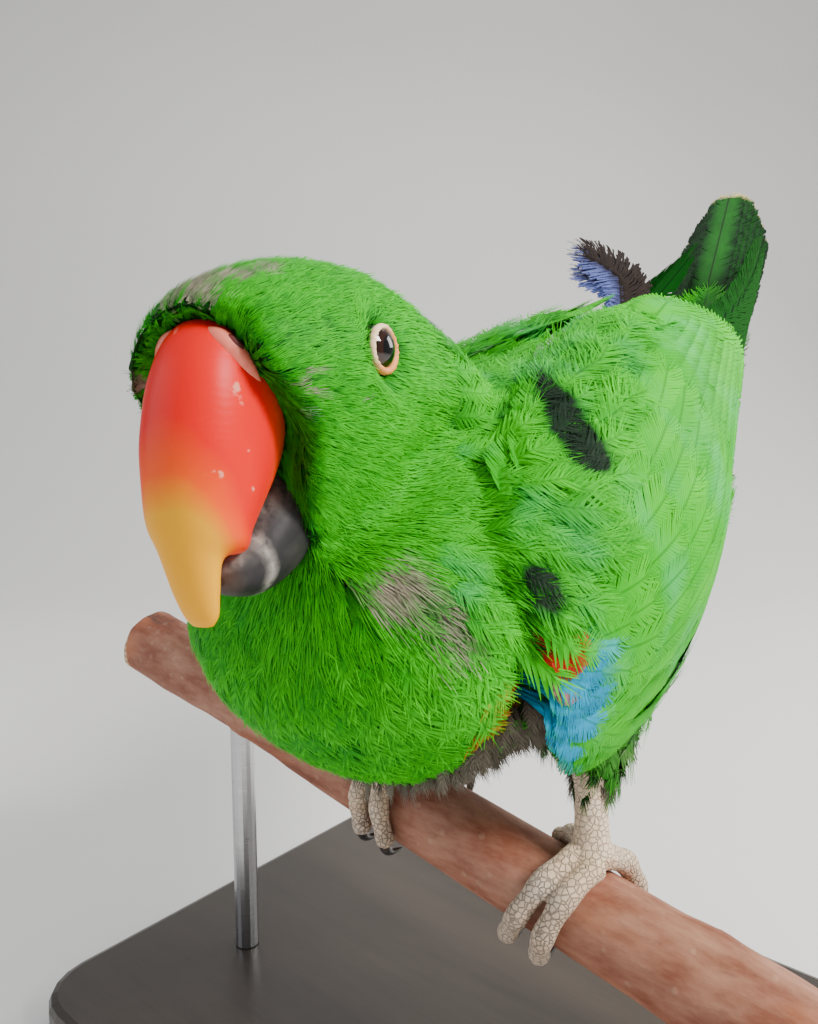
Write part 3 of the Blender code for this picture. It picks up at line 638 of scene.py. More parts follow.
# Markings of the body: kind, place in the bird's frame, reach
BODY_MARKS = [
    ("scarlet", (42.3, -38.5, 50.0), 5.0),
    ("scarlet", (41.3, -32.6, 45.0), 5.0),
    ("scarlet", (39.0, -37.0, 42.0), 5.5),
    ("wear_and_painted_light", (38.5, -50.0, 66.0), 6.0),
    ("wear_and_painted_light", (30.0, -54.0, 70.0), 5.5),
    ("wear_and_painted_light", (32.0, -22.0, 28.0), 14.0),
    ("wear_and_painted_light", (6.0, -16.0, 24.0), 20.0),
    ("wear_and_painted_light", (34.0, 6.0, 26.0), 9.0),
    ("wear_and_painted_light", (-21.0, 6.0, 30.0), 9.0),
]
# Markings of the head, in its frame and mirrored on its other side
HEAD_MARKS = [
    ("wear_and_painted_light", (25.5, -3.5, 8.0), 2.4),
    ("wear_and_painted_light", (23.0, 0.5, 9.8), 3.0),
    ("wear_and_painted_light", (19.5, 3.6, 11.0), 3.0),
    ("wear_and_painted_light", (14.0, 5.2, 13.0), 2.6),
    ("wear_and_painted_light", (25.5, 11.6, -4.6), 1.9),
    ("wear_and_painted_light", (23.5, 12.9, -9.0), 2.0),
    ("wear_and_painted_light", (18.5, 15.2, -5.5), 1.5),
    ("wear_and_painted_light", (7.0, 15.5, -8.5), 1.7),
    ("wear_and_painted_light", (-1.5, 16.5, -6.5), 1.5),
    ("pale", (19.3, 15.0, -10.6), 1.0),
    ("pale", (17.6, 15.3, -12.8), 1.0),
]
MARK_KINDS = ("turquoise", "scarlet", "wear_and_painted_light", "pale")


def reach_from_bill(points):
    return np.linalg.norm(points - BILL_ROOT_POINT, axis=-1)


def coat_depth(points):
    scale = plumage().coat_depth / MM / COAT_DEPTHS[-1]
    return np.interp(reach_from_bill(points), COAT_REACH, COAT_DEPTHS) * scale


def belly_lift(points):
    """How far the breast's and belly's underside is drawn up, away from the legs."""
    x, y, z = points.T
    lift = BELLY_LIFT * smooth_step(66 - z, 0, 36) * (1 - smooth_step(y, -4, 24))
    for foot in FOOT_PLACES.values():
        near = np.hypot(x - foot, y - 7)
        lift = lift * smooth_step(near, 9, 18)
    return lift


def lie_of_coat(points):
    """The direction that the feathers at each point run in, before it is laid on the surface."""
    away = points - BILL_ROOT_POINT
    reach = np.linalg.norm(away, axis=-1, keepdims=True)
    away = away / np.maximum(reach, 1e-6)
    fall = BREAST_FALL * smooth_step(-points[..., 1:2], 0, 52)
    body = unit(np.array(TRUNK_LIE) + fall * np.array((0, 0, -1.0)))
    share = smooth_step(reach, 30, 78)
    lie = away * (1 - share) + body * share
    for side in (1, -1):
        eye = np.array(head_point(EYE_PLACE[0], side * EYE_PLACE[1], EYE_PLACE[2]))
        around = points - eye
        near = np.linalg.norm(around, axis=-1, keepdims=True)
        lie = lie + around / np.maximum(near, 1e-6) * 1.1 * (1 - smooth_step(near, 4.5, 9.5))
    for x in FOOT_PLACES.values():
        spread = np.linalg.norm(points[..., :2] - np.array((x, 7.0)), axis=-1, keepdims=True)
        leg = (1 - smooth_step(spread, 10, 14)) * (1 - smooth_step(points[..., 2:], 34, 44))
        lie = lie * (1 - leg) + np.array((0, -0.25, -1.0)) * leg
    return unit(lie)


def marks_of_body(points):
    """How strongly each marking shows at each point: one column for each kind."""
    marks = np.zeros((len(points), len(MARK_KINDS)))
    head = head_coordinates(points)
    for kind, place, reach in BODY_MARKS:
        far = np.linalg.norm(points - np.array(place), axis=1)
        column = MARK_KINDS.index(kind)
        marks[:, column] = np.maximum(marks[:, column], 1 - smooth_step(far, reach * 0.55, reach * 1.25))
    for kind, place, reach in HEAD_MARKS:
        for side in (1, -1):
            far = np.linalg.norm(head - np.array((place[0], side * place[1], place[2])), axis=1)
            column = MARK_KINDS.index(kind)
            marks[:, column] = np.maximum(marks[:, column], 1 - smooth_step(far, reach * 0.5, reach * 1.4))
    return marks


# The axis that the skin is unrolled round for the feathers' own map
BODY_AXIS = [
    tuple(head_point(34, 0, -8)),
    tuple(head_point(0, 0, -6)),
    tuple(head_point(-28, 3, -20)),
    (8, -12, 66),
    (6.5, 30, 74),
    (5, 80, 92),
    (1.5, 138, 116),
]


def unrolled(points):
    """Place of each point on the skin unrolled round the body's axis: turn and length, from 0 to 1."""
    axis = np.array(BODY_AXIS)
    best = np.full(len(points), np.inf)
    result = np.zeros((len(points), 2))
    count = len(axis) - 1
    for i in range(count):
        run = axis[i + 1] - axis[i]
        share = np.clip((points - axis[i]) @ run / (run @ run), 0, 1)
        off = points - axis[i] - share[:, None] * run
        far = np.linalg.norm(off, axis=1)
        ahead = unit(run)
        aside = unit(np.cross(ahead, (0, 0, 1.0)))
        lift = np.cross(aside, ahead)
        turn = np.arctan2(off @ aside, off @ lift) / (2 * math.pi) + 0.5
        nearer = far < best
        best[nearer] = far[nearer]
        result[nearer] = np.stack((turn, (i + share) / count), axis=1)[nearer]
    return 0.01 + 0.98 * result


# Feathers: a template of barbs, laid along many paths at once


def strip(segments):
    """A narrow quad strip: how far along and to which edge each vertex lies, and the triangles."""
    mesh = bmesh.new()
    bmesh.ops.create_grid(mesh, x_segments=1, y_segments=segments, size=1)
    bmesh.ops.triangulate(mesh, faces=mesh.faces)
    mesh.verts.index_update()
    along = np.array([(vert.co.y + 1) / 2 for vert in mesh.verts])
    edge = np.array([vert.co.x for vert in mesh.verts])
    triangles = np.array([[vert.index for vert in face.verts] for face in mesh.faces])
    mesh.free()
    return along, edge, triangles


class Template:
    """One feather as barb strips on both sides of a shaft, in shares of its length and half width."""

    def __init__(self):
        self.share = []
        self.across = []
        self.reach = []
        self.barb = []
        self.triangles = []
        self.count = 0

    def add_strip(self, along_path, segments):
        """Adds a strip whose path gives share, across, half width in share and half width across."""
        along, edge, triangles = strip(segments)
        rows = np.array([along_path(q) for q in along])
        start = sum(len(part) for part in self.share)
        self.share.append(rows[:, 0] + edge * rows[:, 2])
        self.across.append(rows[:, 1] + edge * rows[:, 3])
        self.reach.append(along)
        self.barb.append(np.full(len(along), self.count))
        self.triangles.append(triangles + start)
        self.count += 1

    def closed(self):
        """The arrays, with every triangle turned the same way."""
        self.share = np.concatenate(self.share)
        self.across = np.concatenate(self.across)
        self.reach = np.concatenate(self.reach)
        self.barb = np.concatenate(self.barb)
        triangles = np.concatenate(self.triangles)
        a, b, c = (np.stack((self.across[t], self.share[t]), axis=1) for t in triangles.T)
        turn = (b[:, 0] - a[:, 0]) * (c[:, 1] - a[:, 1]) - (b[:, 1] - a[:, 1]) * (c[:, 0] - a[:, 0])
        triangles[turn < 0] = triangles[turn < 0][:, ::-1]
        self.triangles = triangles
        return self


def vane_half_width(share, tip):
    """The vane's half width along the shaft: opening from the root and closing to the tip."""
    opening = math.sin(math.pi / 2 * min(share * 1.8 + 0.1, 1))
    closing = max(share - tip, 0) / max(1 - tip, 1e-6)
    return opening * math.sqrt(max(1 - closing**2, 0.0))


def barbed_template(barbs, lean, tip=0.55, start=0.1, segments=2, overlap=0.62, end=0.16, shaft=0.035):
    """A feather with barbs on both sides that lean towards its tip."""
    made = Template()
    reach = 1 + 0.85 * lean
    pitch = (1 - start) / barbs / reach
    for i in range(barbs):
        share = start + (1 - start) * (i + 0.5) / barbs
        root = share / reach
        wide = vane_half_width(share, tip)
        for side in (-1, 1):

            def path(q, root=root, wide=wide, side=side):
                ahead = root + lean / reach * q**1.25
                thick = pitch * overlap * (1 - (1 - end) * max(q - 0.45, 0) / 0.55)
                return ahead, side * wide * q, thick, 0.0

            made.add_strip(path, segments)
    if shaft:
        made.add_strip(lambda q: (q * 0.95, 0, 0, shaft * (1.05 - q)), 3)
    return made.closed()


def tuft_template(blades, spread, width):
    """A tuft of hair-like blades that fan from one root."""
    made = Template()
    for i in range(blades):
        place = 2 * (i + 0.5) / blades - 1
        length = 1 - 0.22 * place * place - 0.1 * (i % 2)

        def path(q, place=place, length=length):
            return q * length, place * (0.3 + spread * q), 0, width * (1 - q) ** 0.7 + 0.02

        made.add_strip(path, 2)
    return made.closed()


class Bed:
    """The surfaces that the coat lies on, and where it may root."""

    def __init__(self, names, above=5.0):
        points = []
        triangles = []
        start = 0
        for name in names:
            found, faces = bird_arrays(bpy.data.objects[name].data)
            points.append(found)
            triangles.append(faces + start)
            start += len(found)
        self.points = np.concatenate(points)
        self.triangles = np.concatenate(triangles)
        self.tree = BVHTree.FromPolygons(self.points.tolist(), self.triangles.tolist())
        self.above = above
        self.rooting = len(triangles[0])

    def scatter(self, spacing, keep, rng, crowd=5):
        """Points spread evenly, about spacing apart, over the first surface where keep is true."""
        faces = self.triangles[: self.rooting]
        a, b, c = (self.points[faces[:, i]] for i in range(3))
        cross = np.cross(b - a, c - a)
        area = np.linalg.norm(cross, axis=1) / 2
        middle = keep((a + b + c) / 3, cross / np.maximum(2 * area[:, None], 1e-9))
        area = area * middle
        total = area.sum()
        count = int(crowd * total / spacing**2)
        pick = rng.choice(len(faces), count, p=area / total)
        u, v = rng.random((2, count))
        flip = u + v > 1
        u[flip], v[flip] = 1 - u[flip], 1 - v[flip]
        found = a[pick] + u[:, None] * (b - a)[pick] + v[:, None] * (c - a)[pick]
        cells = {}
        kept = []
        limit = (spacing * 0.86) ** 2
        keys = np.floor(found / spacing).astype(int)
        for index, (key, point) in enumerate(zip(map(tuple, keys), found.tolist())):
            clear = True
            for dx in (-1, 0, 1):
                for dy in (-1, 0, 1):
                    for dz in (-1, 0, 1):
                        for other in cells.get((key[0] + dx, key[1] + dy, key[2] + dz), ()):
                            gap = (other[0] - point[0]) ** 2 + (other[1] - point[1]) ** 2
                            if gap + (other[2] - point[2]) ** 2 < limit:
                                clear = False
                                break
            if clear:
                cells.setdefault(key, []).append(point)
                kept.append(index)
        return found[kept]

    def lay(self, roots, lengths, rises, rng, stray=0.12, steps=3, lift=0.15):
        """Paths of that many steps from roots along the lie: points, aside and out directions."""
        count = len(roots)
        noise = rng.normal(0, stray, (count, 3))
        points = np.zeros((count, steps + 1, 3))
        outs = np.zeros((count, steps + 1, 3))
        place = roots.copy()
        for k in range(steps + 1):
            for i in range(count):
                start = Vector(place[i])
                hit, normal, _, _ = self.tree.find_nearest(start)
                if k:
                    above, better, _, _ = self.tree.ray_cast(hit + normal * self.above, -normal, self.above)
                    if above is not None and better.dot(normal) > 0.2:
                        hit, normal = above, better
                points[i, k] = hit
                outs[i, k] = normal
            lie = lie_of_coat(points[:, k]) + noise
            normal = outs[:, k]
            lie = unit(lie - normal * np.sum(lie * normal, axis=1, keepdims=True))
            place = points[:, k] + lie * lengths[:, None] / steps
        share = np.linspace(0, 1, steps + 1)
        height = lift + (rises[:, None] - lift) * share**0.8
        points = points + outs * height[:, :, None]
        return framed(points, outs)


def framed(points, outs):
    """Straightens each path's directions: out stays across the path, aside is across both."""
    ahead = unit(np.gradient(points, axis=1))
    outs = unit(outs - ahead * np.sum(outs * ahead, axis=2, keepdims=True))
    return points, np.cross(ahead, outs), outs


class Ruffle:
    """How barbs stray in length, in width and off the surface, and the vanes' crown and thickness."""

    def __init__(self, length=0.06, width=0.1, lift=0.04, crown=0.12, thickness=0.0):
        self.length = length
        self.width = width
        self.lift = lift
        self.crown = crown
        self.thickness = thickness


def feather_points(template, paths, widths, ruffle, rng):
    """The vertices of one template laid along every path: an array of feathers by vertices by 3."""
    count, stations = paths[0].shape[:2]
    barbs = template.count
    stray = rng.normal(0, 1, (3, count, barbs))[:, :, template.barb]
    share = template.share + template.reach * stray[0] * ruffle.length
    across = template.across * (1 + template.reach * stray[1] * ruffle.width)
    place = np.clip(share, 0, 1.15) * (stations - 1)
    low = np.clip(place.astype(int), 0, stations - 2)
    part = (place - low)[:, :, None]
    pick = np.arange(count)[:, None]
    middle, aside, out = [way[pick, low] * (1 - part) + way[pick, low + 1] * part for way in paths]
    half = (widths / 2)[:, None]
    rise = ruffle.crown * half * (1 - across**2) + template.reach**2 * stray[2] * ruffle.lift * half
    body = middle + aside * (across * half)[:, :, None] + out * rise[:, :, None]
    return body, out, share, across


def patch_cells(count):
    """A square of cells that holds a count of feathers, for pieces of few, large feathers."""
    side = math.ceil(math.sqrt(count))
    index = np.arange(count)
    return (np.stack((index % side, index // side), axis=1) + 0.5) / side, 0.86 / side


def feather_pieces(name, template, paths, widths, marks, ruffle, finish, slot, rng, spots=None, painted_shadow=None):
    """One or more joined meshes of feathers, each under the limit on triangles."""
    count = len(widths)
    luck = rng.random(count)
    layers = 2 if ruffle.thickness else 1
    each = len(template.triangles) * layers
    parts = math.ceil(count * each / PIECE_LIMIT)
    made = []
    for part in range(parts):
        chosen = np.arange(part, count, parts)
        piece_paths = [values[chosen] for values in paths]
        body, outs, share, across = feather_points(template, piece_paths, widths[chosen], ruffle, rng)
        many, corners = body.shape[:2]
        triangles = (template.triangles[None] + (np.arange(many) * corners)[:, None, None]).reshape(-1, 3)
        uv = np.stack((across * 0.5 + 0.5, share), axis=2).reshape(-1, 2)
        if spots is None:
            roots, wide = patch_cells(many)
        else:
            roots, wide = spots[chosen], PATCH_WIDTH
        inner = np.stack((np.clip(across, -1.2, 1.2) / 2.4, np.clip(share, 0, 1.2) / 1.2 - 0.5), axis=2)
        patch = (roots[:, None] + inner * wide).reshape(-1, 2)
        vertices = body.reshape(-1, 3)
        facts = np.repeat(marks[chosen], corners, axis=0)
        lucks = np.repeat(luck[chosen], corners)
        # The painted shadow of the wing's gaps darkens the wear channel
        if painted_shadow:
            facts[:, 2] = np.maximum(facts[:, 2], painted_shadow(vertices))
        if layers == 2:
            under = (body - outs * ruffle.thickness).reshape(-1, 3)
            triangles = np.concatenate((triangles, triangles[:, ::-1] + len(vertices)))
            vertices = np.concatenate((vertices, under))
            uv = np.concatenate((uv, uv))
            patch = np.concatenate((patch, patch))
            facts = np.concatenate((facts, facts))
            lucks = np.concatenate((lucks, lucks))
        label = name if parts == 1 else f"{name}_{part + 1}"
        made.append(joined_piece(label, vertices, triangles, uv, patch, facts, lucks, finish, slot))
    return made


def joined_piece(name, vertices, triangles, uv, patch, marks, luck, finish, slot):
    """An object from arrays, with the feathers' own map, the bake's map and their markings."""
    data = bpy.data.meshes.new(name)
    data.vertices.add(len(vertices))
    data.vertices.foreach_set("co", ((vertices + np.array(GRIP_POINT)) * MM).ravel())
    data.loops.add(triangles.size)
    data.loops.foreach_set("vertex_index", triangles.ravel().astype(np.int32))
    data.polygons.add(len(triangles))
    data.polygons.foreach_set("loop_start", np.arange(0, triangles.size, 3, dtype=np.int32))
    data.update(calc_edges=True)
    data.shade_smooth()
    for label, values in (("feather", uv), ("OFBake", patch)):
        layer = data.uv_layers.new(name=label)
        layer.data.foreach_set("uv", values[triangles.ravel()].ravel().astype(np.float32))
    add_marks(data, marks, luck)
    made = bpy.data.objects.new(name, data)
    bpy.context.scene.collection.objects.link(made)
    return finished(made, finish, slot)


def add_marks(data, marks, luck):
    """Stores how strongly each marking shows, and one random number for each feather."""
    field = data.attributes.new("marks", "FLOAT_COLOR", "POINT")
    field.data.foreach_set("color", marks.astype(np.float32).ravel())
    field = data.attributes.new("luck", "FLOAT", "POINT")
    field.data.foreach_set("value", luck.astype(np.float32))


def plumage_finish(name, deep, middle, light, shaft=0.5, barbs=16.0, lean=3.0, fray=0.3, roughness=0.6,
                   painted_sheen=None, wear_and_shadow=None, rim=0.0, gloss=0.12):
    """Feathers: deep at the root, light at the tip, with a dark shaft, fine barbs and the markings."""
    sets = plumage()
    made = Finish(name, Specular_IOR_Level=gloss)
    across, share, _ = made.split(made.add("ShaderNodeUVMap", {"uv_map": "feather"}))
    off = abs(across - 0.5) * 2
    luck = made.attribute("luck")
    drift = made.noise(38, 3)
    fine = made.noise(420, 2)
    barb = ((share * barbs - off * lean) * 2 * math.pi).sine() * 0.5 + 0.5
    tone = share * 0.72 + luck * 0.26 + drift * 0.5 + fine * 0.22 - 0.38
    green = made.ramp(tone, [(0.0, deep), (0.46, middle), (1.0, light)])
    # A painted sheen: bluish patches mixed into the green by noise
    if painted_sheen:
        green = made.mix(made.noise(55, 2).step(0.5, 0.75) * 0.4, green, painted_sheen)
    marks = made.attribute("marks", "Color")
    blue, red, wear_and_painted_light = made.split(marks)
    # The wear channel holds real wear, and on the wings and shoulders the painted shadow of their gaps, in
    # the tint that is passed in
    strength, wear_and_shadow_tint = wear_and_shadow or (0.55, sets.worn_grey)
    wear_and_painted_light = wear_and_painted_light * strength
    pale = made.attribute("marks", "Alpha") * (share + fine * 0.5).step(0.45, 0.95) * 0.6
    grain = fine * 0.9 + drift * 0.6 + luck * 0.5 - 0.5
    tints = (
        (blue, sets.turquoise, scaled(sets.turquoise, 0.35)),
        (red, sets.scarlet, scaled(sets.scarlet, 0.4)),
        (wear_and_painted_light, wear_and_shadow_tint, scaled(wear_and_shadow_tint, 0.3)),
        (pale, sets.worn_pale, scaled(sets.worn_pale, 0.6)),
    )
    tint = green
    for weight, bright, dim in tints:
        own = made.mix(grain.clamped(), dim, bright)
        tint = made.mix((weight * 1.3 + grain * 0.3 - 0.2).clamped() * weight.step(0.02, 0.2), tint, own)
    # Darker vane rims: painted shade between the overlapping feathers
    if rim:
        tint = made.mix((off + fine * 0.3).step(0.85, 1.2) * rim, tint, scaled(middle, 0.5))
    line = (1 - off.step(0.015, 0.075)) * shaft
    tint = made.mix(line, tint, scaled(deep, 0.35))
    tint = made.mix((1 - barb) * fray, tint, scaled(deep, 0.5))
    made.feed("Base Color", tint)
    made.feed("Roughness", roughness + fine * 0.18 - 0.09)
    made.bump(barb * 0.6 + fine * 0.4, 0.35, 0.0002)
    return made.material


# Skin


SKIN_NODES = ("head", "neck", "torso", "rump", "thigh_left", "thigh_right")
SKIN_SWELL = 0.3
SKIN_VOXEL = 1.0
# Sizes of the mound round each eye, where its socket's rim starts and ends, and how deep it is pressed in
EYE_MOUND = (6.4, 5.9, 6.2)
SOCKET_RIM = (3.5, 4.3)
SOCKET_FLOOR = 0.6
# Where on a feather the down under the coat takes its colour: across and along
DOWN_PLACE = (0.25, 0.2)


def add_shell(whole, part):
    """Adds a bmesh to another and frees it."""
    shell = bpy.data.meshes.new("shell")
    part.to_mesh(shell)
    part.free()
    whole.from_mesh(shell)
    bpy.data.meshes.remove(shell)


def down_under_coat(thing, name, slot, marks, luck, *nodes):
    """Gives a surface under the coat its markings and its dark down."""
    add_marks(thing.data, marks, np.full(len(marks), luck))
    layer = thing.data.uv_layers.new(name="feather")
    layer.data.foreach_set("uv", np.tile(DOWN_PLACE, len(thing.data.loops)).astype(np.float32))
    sets = plumage()
    deep = sets.deep_green
    finish = plumage_finish(name, deep, deep, sets.head_green, shaft=0, barbs=1, lean=0)
    return finished(thing, finish, slot, *nodes)


def build_skin():
    """One skin over head, neck, trunk and thighs, drawn in by the coat's depth."""
    whole = bmesh.new()
    for node in SKIN_NODES:
        part = bmesh.new()
        part.from_mesh(frame["nodes"][node].data)
        bmesh.ops.remove_doubles(part, verts=part.verts, dist=0.01 * MM)
        part.normal_update()
        for vert, push in [(vert, vert.normal * SKIN_SWELL * MM) for vert in part.verts]:
            vert.co += push
        add_shell(whole, part)
    fills = [(FILL_PLACE, FILL_SIZE, 0.7), (BROW_PLACE, BROW_SIZE, 1.0)]
    for side in (1, -1):
        place = (EYE_PLACE[0], side * (EYE_PLACE[1] - 0.4), EYE_PLACE[2] + LID_RISE)
        fills.append((place, EYE_MOUND, 1.0))
    for place, size, square in fills:
        fill = bmesh.new()
        bmesh.ops.create_uvsphere(fill, u_segments=40, v_segments=24, radius=1)
        for vert in fill.verts:
            blunt = [math.copysign(abs(co) ** square, co) for co in vert.co]
            vert.co = world(head_point(*[at + co * wide for at, co, wide in zip(place, blunt, size)]))
        add_shell(whole, fill)
    skin = object_from("skin", whole)
    add_voxels(skin, SKIN_VOXEL)
    soften(skin, 4)
    data = skin.data
    points, _ = bird_arrays(data)
    normals = np.empty(len(points) * 3)
    data.vertices.foreach_get("normal", normals)
    points -= normals.reshape(-1, 3) * (coat_depth(points)[:, None] + SKIN_SWELL)
    points[:, 2] += belly_lift(points)
    points = eye_sockets(face_draw(points))
    data.vertices.foreach_set("co", ((points + np.array(GRIP_POINT)) * MM).ravel())
    data.update()
    soften(skin, 2)
    points, _ = bird_arrays(skin.data)
    return down_under_coat(skin, "skin_down", "body_feathers", marks_of_body(points), 0.5, *SKIN_NODES)


def face_draw(points):
    """The face's points with its sides drawn back beside the bill, so that the bill's sides show."""
    head = head_coordinates(points)
    forward, left, up = head.T
    heights, places = zip(*FACE_LINE)
    limit = np.interp(up, heights, places) + FACE_SLOPE * np.maximum(np.abs(left) - 8, 0)
    strength = np.where(left > 0, 1.0, smooth_step(-up, 5, 12)) * smooth_step(up, -37, -31)
    over = np.maximum(forward - limit, 0)
    head[:, 0] = forward - 0.9 * over * strength
    return from_head(head)


def eye_sockets(points):
    """The head's points pressed in behind the eyes' openings, so that the balls stand clear."""
    head = head_coordinates(points)
    far = np.hypot(head[:, 0] - EYE_PLACE[0], head[:, 2] - EYE_PLACE[2] - LID_RISE)
    inside = (1 - smooth_step(far, *SOCKET_RIM)) * (np.abs(head[:, 1]) > 9)
    deep = np.minimum(np.abs(head[:, 1]), EYE_PLACE[1] + SOCKET_FLOOR)
    head[:, 1] = head[:, 1] * (1 - inside) + np.sign(head[:, 1]) * deep * inside
    return from_head(head)


def bill_trees():
    """The bill's mandibles as trees for finding what lies inside them."""
    trees = []
    for rows in (UPPER_BILL_ROWS, LOWER_BILL_ROWS):
        rings = bill_rings(rows, 24, 24)
        points = [point for ring in rings for point in ring]
        faces = []
        for k in range(24):
            for i in range(24):
                first, second = k * 24 + i, k * 24 + (i + 1) % 24
                faces.append((first, second, second + 24, first + 24))
        trees.append((BVHTree.FromPolygons(points, faces), [sum(ring, Vector()) / 24 for ring in rings]))
    return trees


def bill_overlaps(points, margin=0.3):
    """True where a point is inside the bill, or nearer to its surface than the margin."""
    inside = np.zeros(len(points), dtype=bool)
    near = np.nonzero(reach_from_bill(points) < 36)[0]
    for tree, axis in bill_trees():
        middles = np.array([list(point) for point in axis])
        for index in near:
            point = Vector(points[index])
            hit, _, _, far = tree.find_nearest(point)
            middle = Vector(middles[np.argmin(np.linalg.norm(middles - points[index], axis=1))])
            inside[index] |= far < margin or (point - middle).length < (hit - middle).length
    return inside


def near_eye(points, reach):
    """True within a reach of the middle of either eye's opening, seen from the side."""
    head = head_coordinates(points)
    off = np.hypot(head[:, 0] - EYE_PLACE[0], head[:, 2] - EYE_PLACE[2] - LID_RISE)
    return (off < reach) & (np.abs(head[:, 1]) > 9)


def before_head_cut(points):
    """Distance in front of the line between head and neck, in millimetres."""
    head = head_coordinates(points)
    (low_f, low_u), (high_f, high_u) = HEAD_CUT
    run = np.array((high_f - low_f, high_u - low_u))
    normal = unit(np.array((run[1], -run[0])))
    return (head[:, 0] - low_f) * normal[0] + (head[:, 2] - low_u) * normal[1]


def wing_coordinates(points):
    """Place along the nearer wing, angle on it and the angles of its edges, for each point."""
    grid = np.linspace(0, 1, 41)
    rows = np.array([blend_rows(WING_ROWS, t) for t in grid])
    place = np.interp(points[:, 1], rows[:, 1], grid)
    x, z, low, high = (np.interp(place, grid, rows[:, i]) for i in (0, 2, 6, 7))
    angle = np.degrees(np.arctan2(points[:, 2] - z, np.abs(points[:, 0] - x)))
    return place, angle, low, high


def under_wing(points, margin=0.0):
    """True where the folded wings and their bend lie over the trunk; the shoulder is left free."""
    place, angle, low, high = wing_coordinates(points)
    covered = (angle > low + margin) & (angle < high - margin) & (place > 0.12) & (place < 0.9)
    bend = (angle > low - 6) & (angle < 11) & (points[:, 1] > -47) & (place < 0.2)
    return covered | bend


def on_shoulder(points, normals):
    """True along the front edge of the wings, where the neck's feathers lie over them."""
    place, angle, _, high = wing_coordinates(points)
    return (points[:, 1] > -50) & (place < 0.13) & (angle > 19) & (angle < high + 14)


def on_mantle(points, normals):
    """True along the upper edge of the wings, where the back's long feathers lie over them."""
    place, angle, _, high = wing_coordinates(points)
    return (points[:, 1] > -34) & (place < 0.45) & (angle > high - 10) & (angle < 88)


HEAD_SPACING = 0.8
NECK_SPACING = 1.6
BODY_SPACING = 2.7
THIGH_SPACING = 1.3
BELLY_SPACING = 2.0
SHOULDER_SPACING = 2.2
MANTLE_SPACING = 3.6


def coat_piece(name, bed, spacing, keep, template, width, ruffle, finish, slot, rng, length=1.0, stray=0.12,
               rise=1.0, painted_shadow=None):
    """Feathers of one kind over the part of the skin where keep is true."""
    roots = bed.scatter(spacing, keep, rng)
    reach = reach_from_bill(roots)
    lengths = np.interp(reach, COAT_REACH, FEATHER_LENGTHS) * length * rng.uniform(0.82, 1.15, len(roots))
    rises = coat_depth(roots) * rise * rng.uniform(0.8, 1.2, len(roots))
    paths = bed.lay(roots, lengths, rises, rng, stray)
    marks = marks_of_body(paths[0][:, -2] + rng.normal(0, 0.6, roots.shape))
    # Where painted shadow is given, the wear channel holds only that shadow
    if painted_shadow:
        marks[:, MARK_KINDS.index("wear_and_painted_light")] = 0
    return feather_pieces(
        name, template, paths, lengths * width, marks, ruffle, finish, slot, rng, unrolled(roots), painted_shadow
    )


def build_head_coat():
    """Fine hair-like feathers over the face, crown and cheeks."""
    sets = plumage()
    rng = np.random.default_rng(sets.seed)
    bed = Bed(["skin", "wing_pad_left", "wing_pad_right"])
    greens = (sets.deep_green, sets.head_green, sets.lime_green)
    finish = plumage_finish(
        "head_feathers", *greens, shaft=0.0, barbs=2, lean=0, wear_and_shadow=(0.8, (0.46, 0.41, 0.3))
    )
    template = tuft_template(7, 0.75, 0.13)
    ruffle = Ruffle(length=0.1, width=0.25, lift=0.16, crown=0.05)

    def keep(points, normals):
        in_bill = bill_overlaps(points, 0.1)
        return (before_head_cut(points) > -4) & ~in_bill & ~near_eye(points, 3.7)

    coat_piece("coat_head", bed, HEAD_SPACING, keep, template, 0.34, ruffle, finish, "head_feathers", rng)


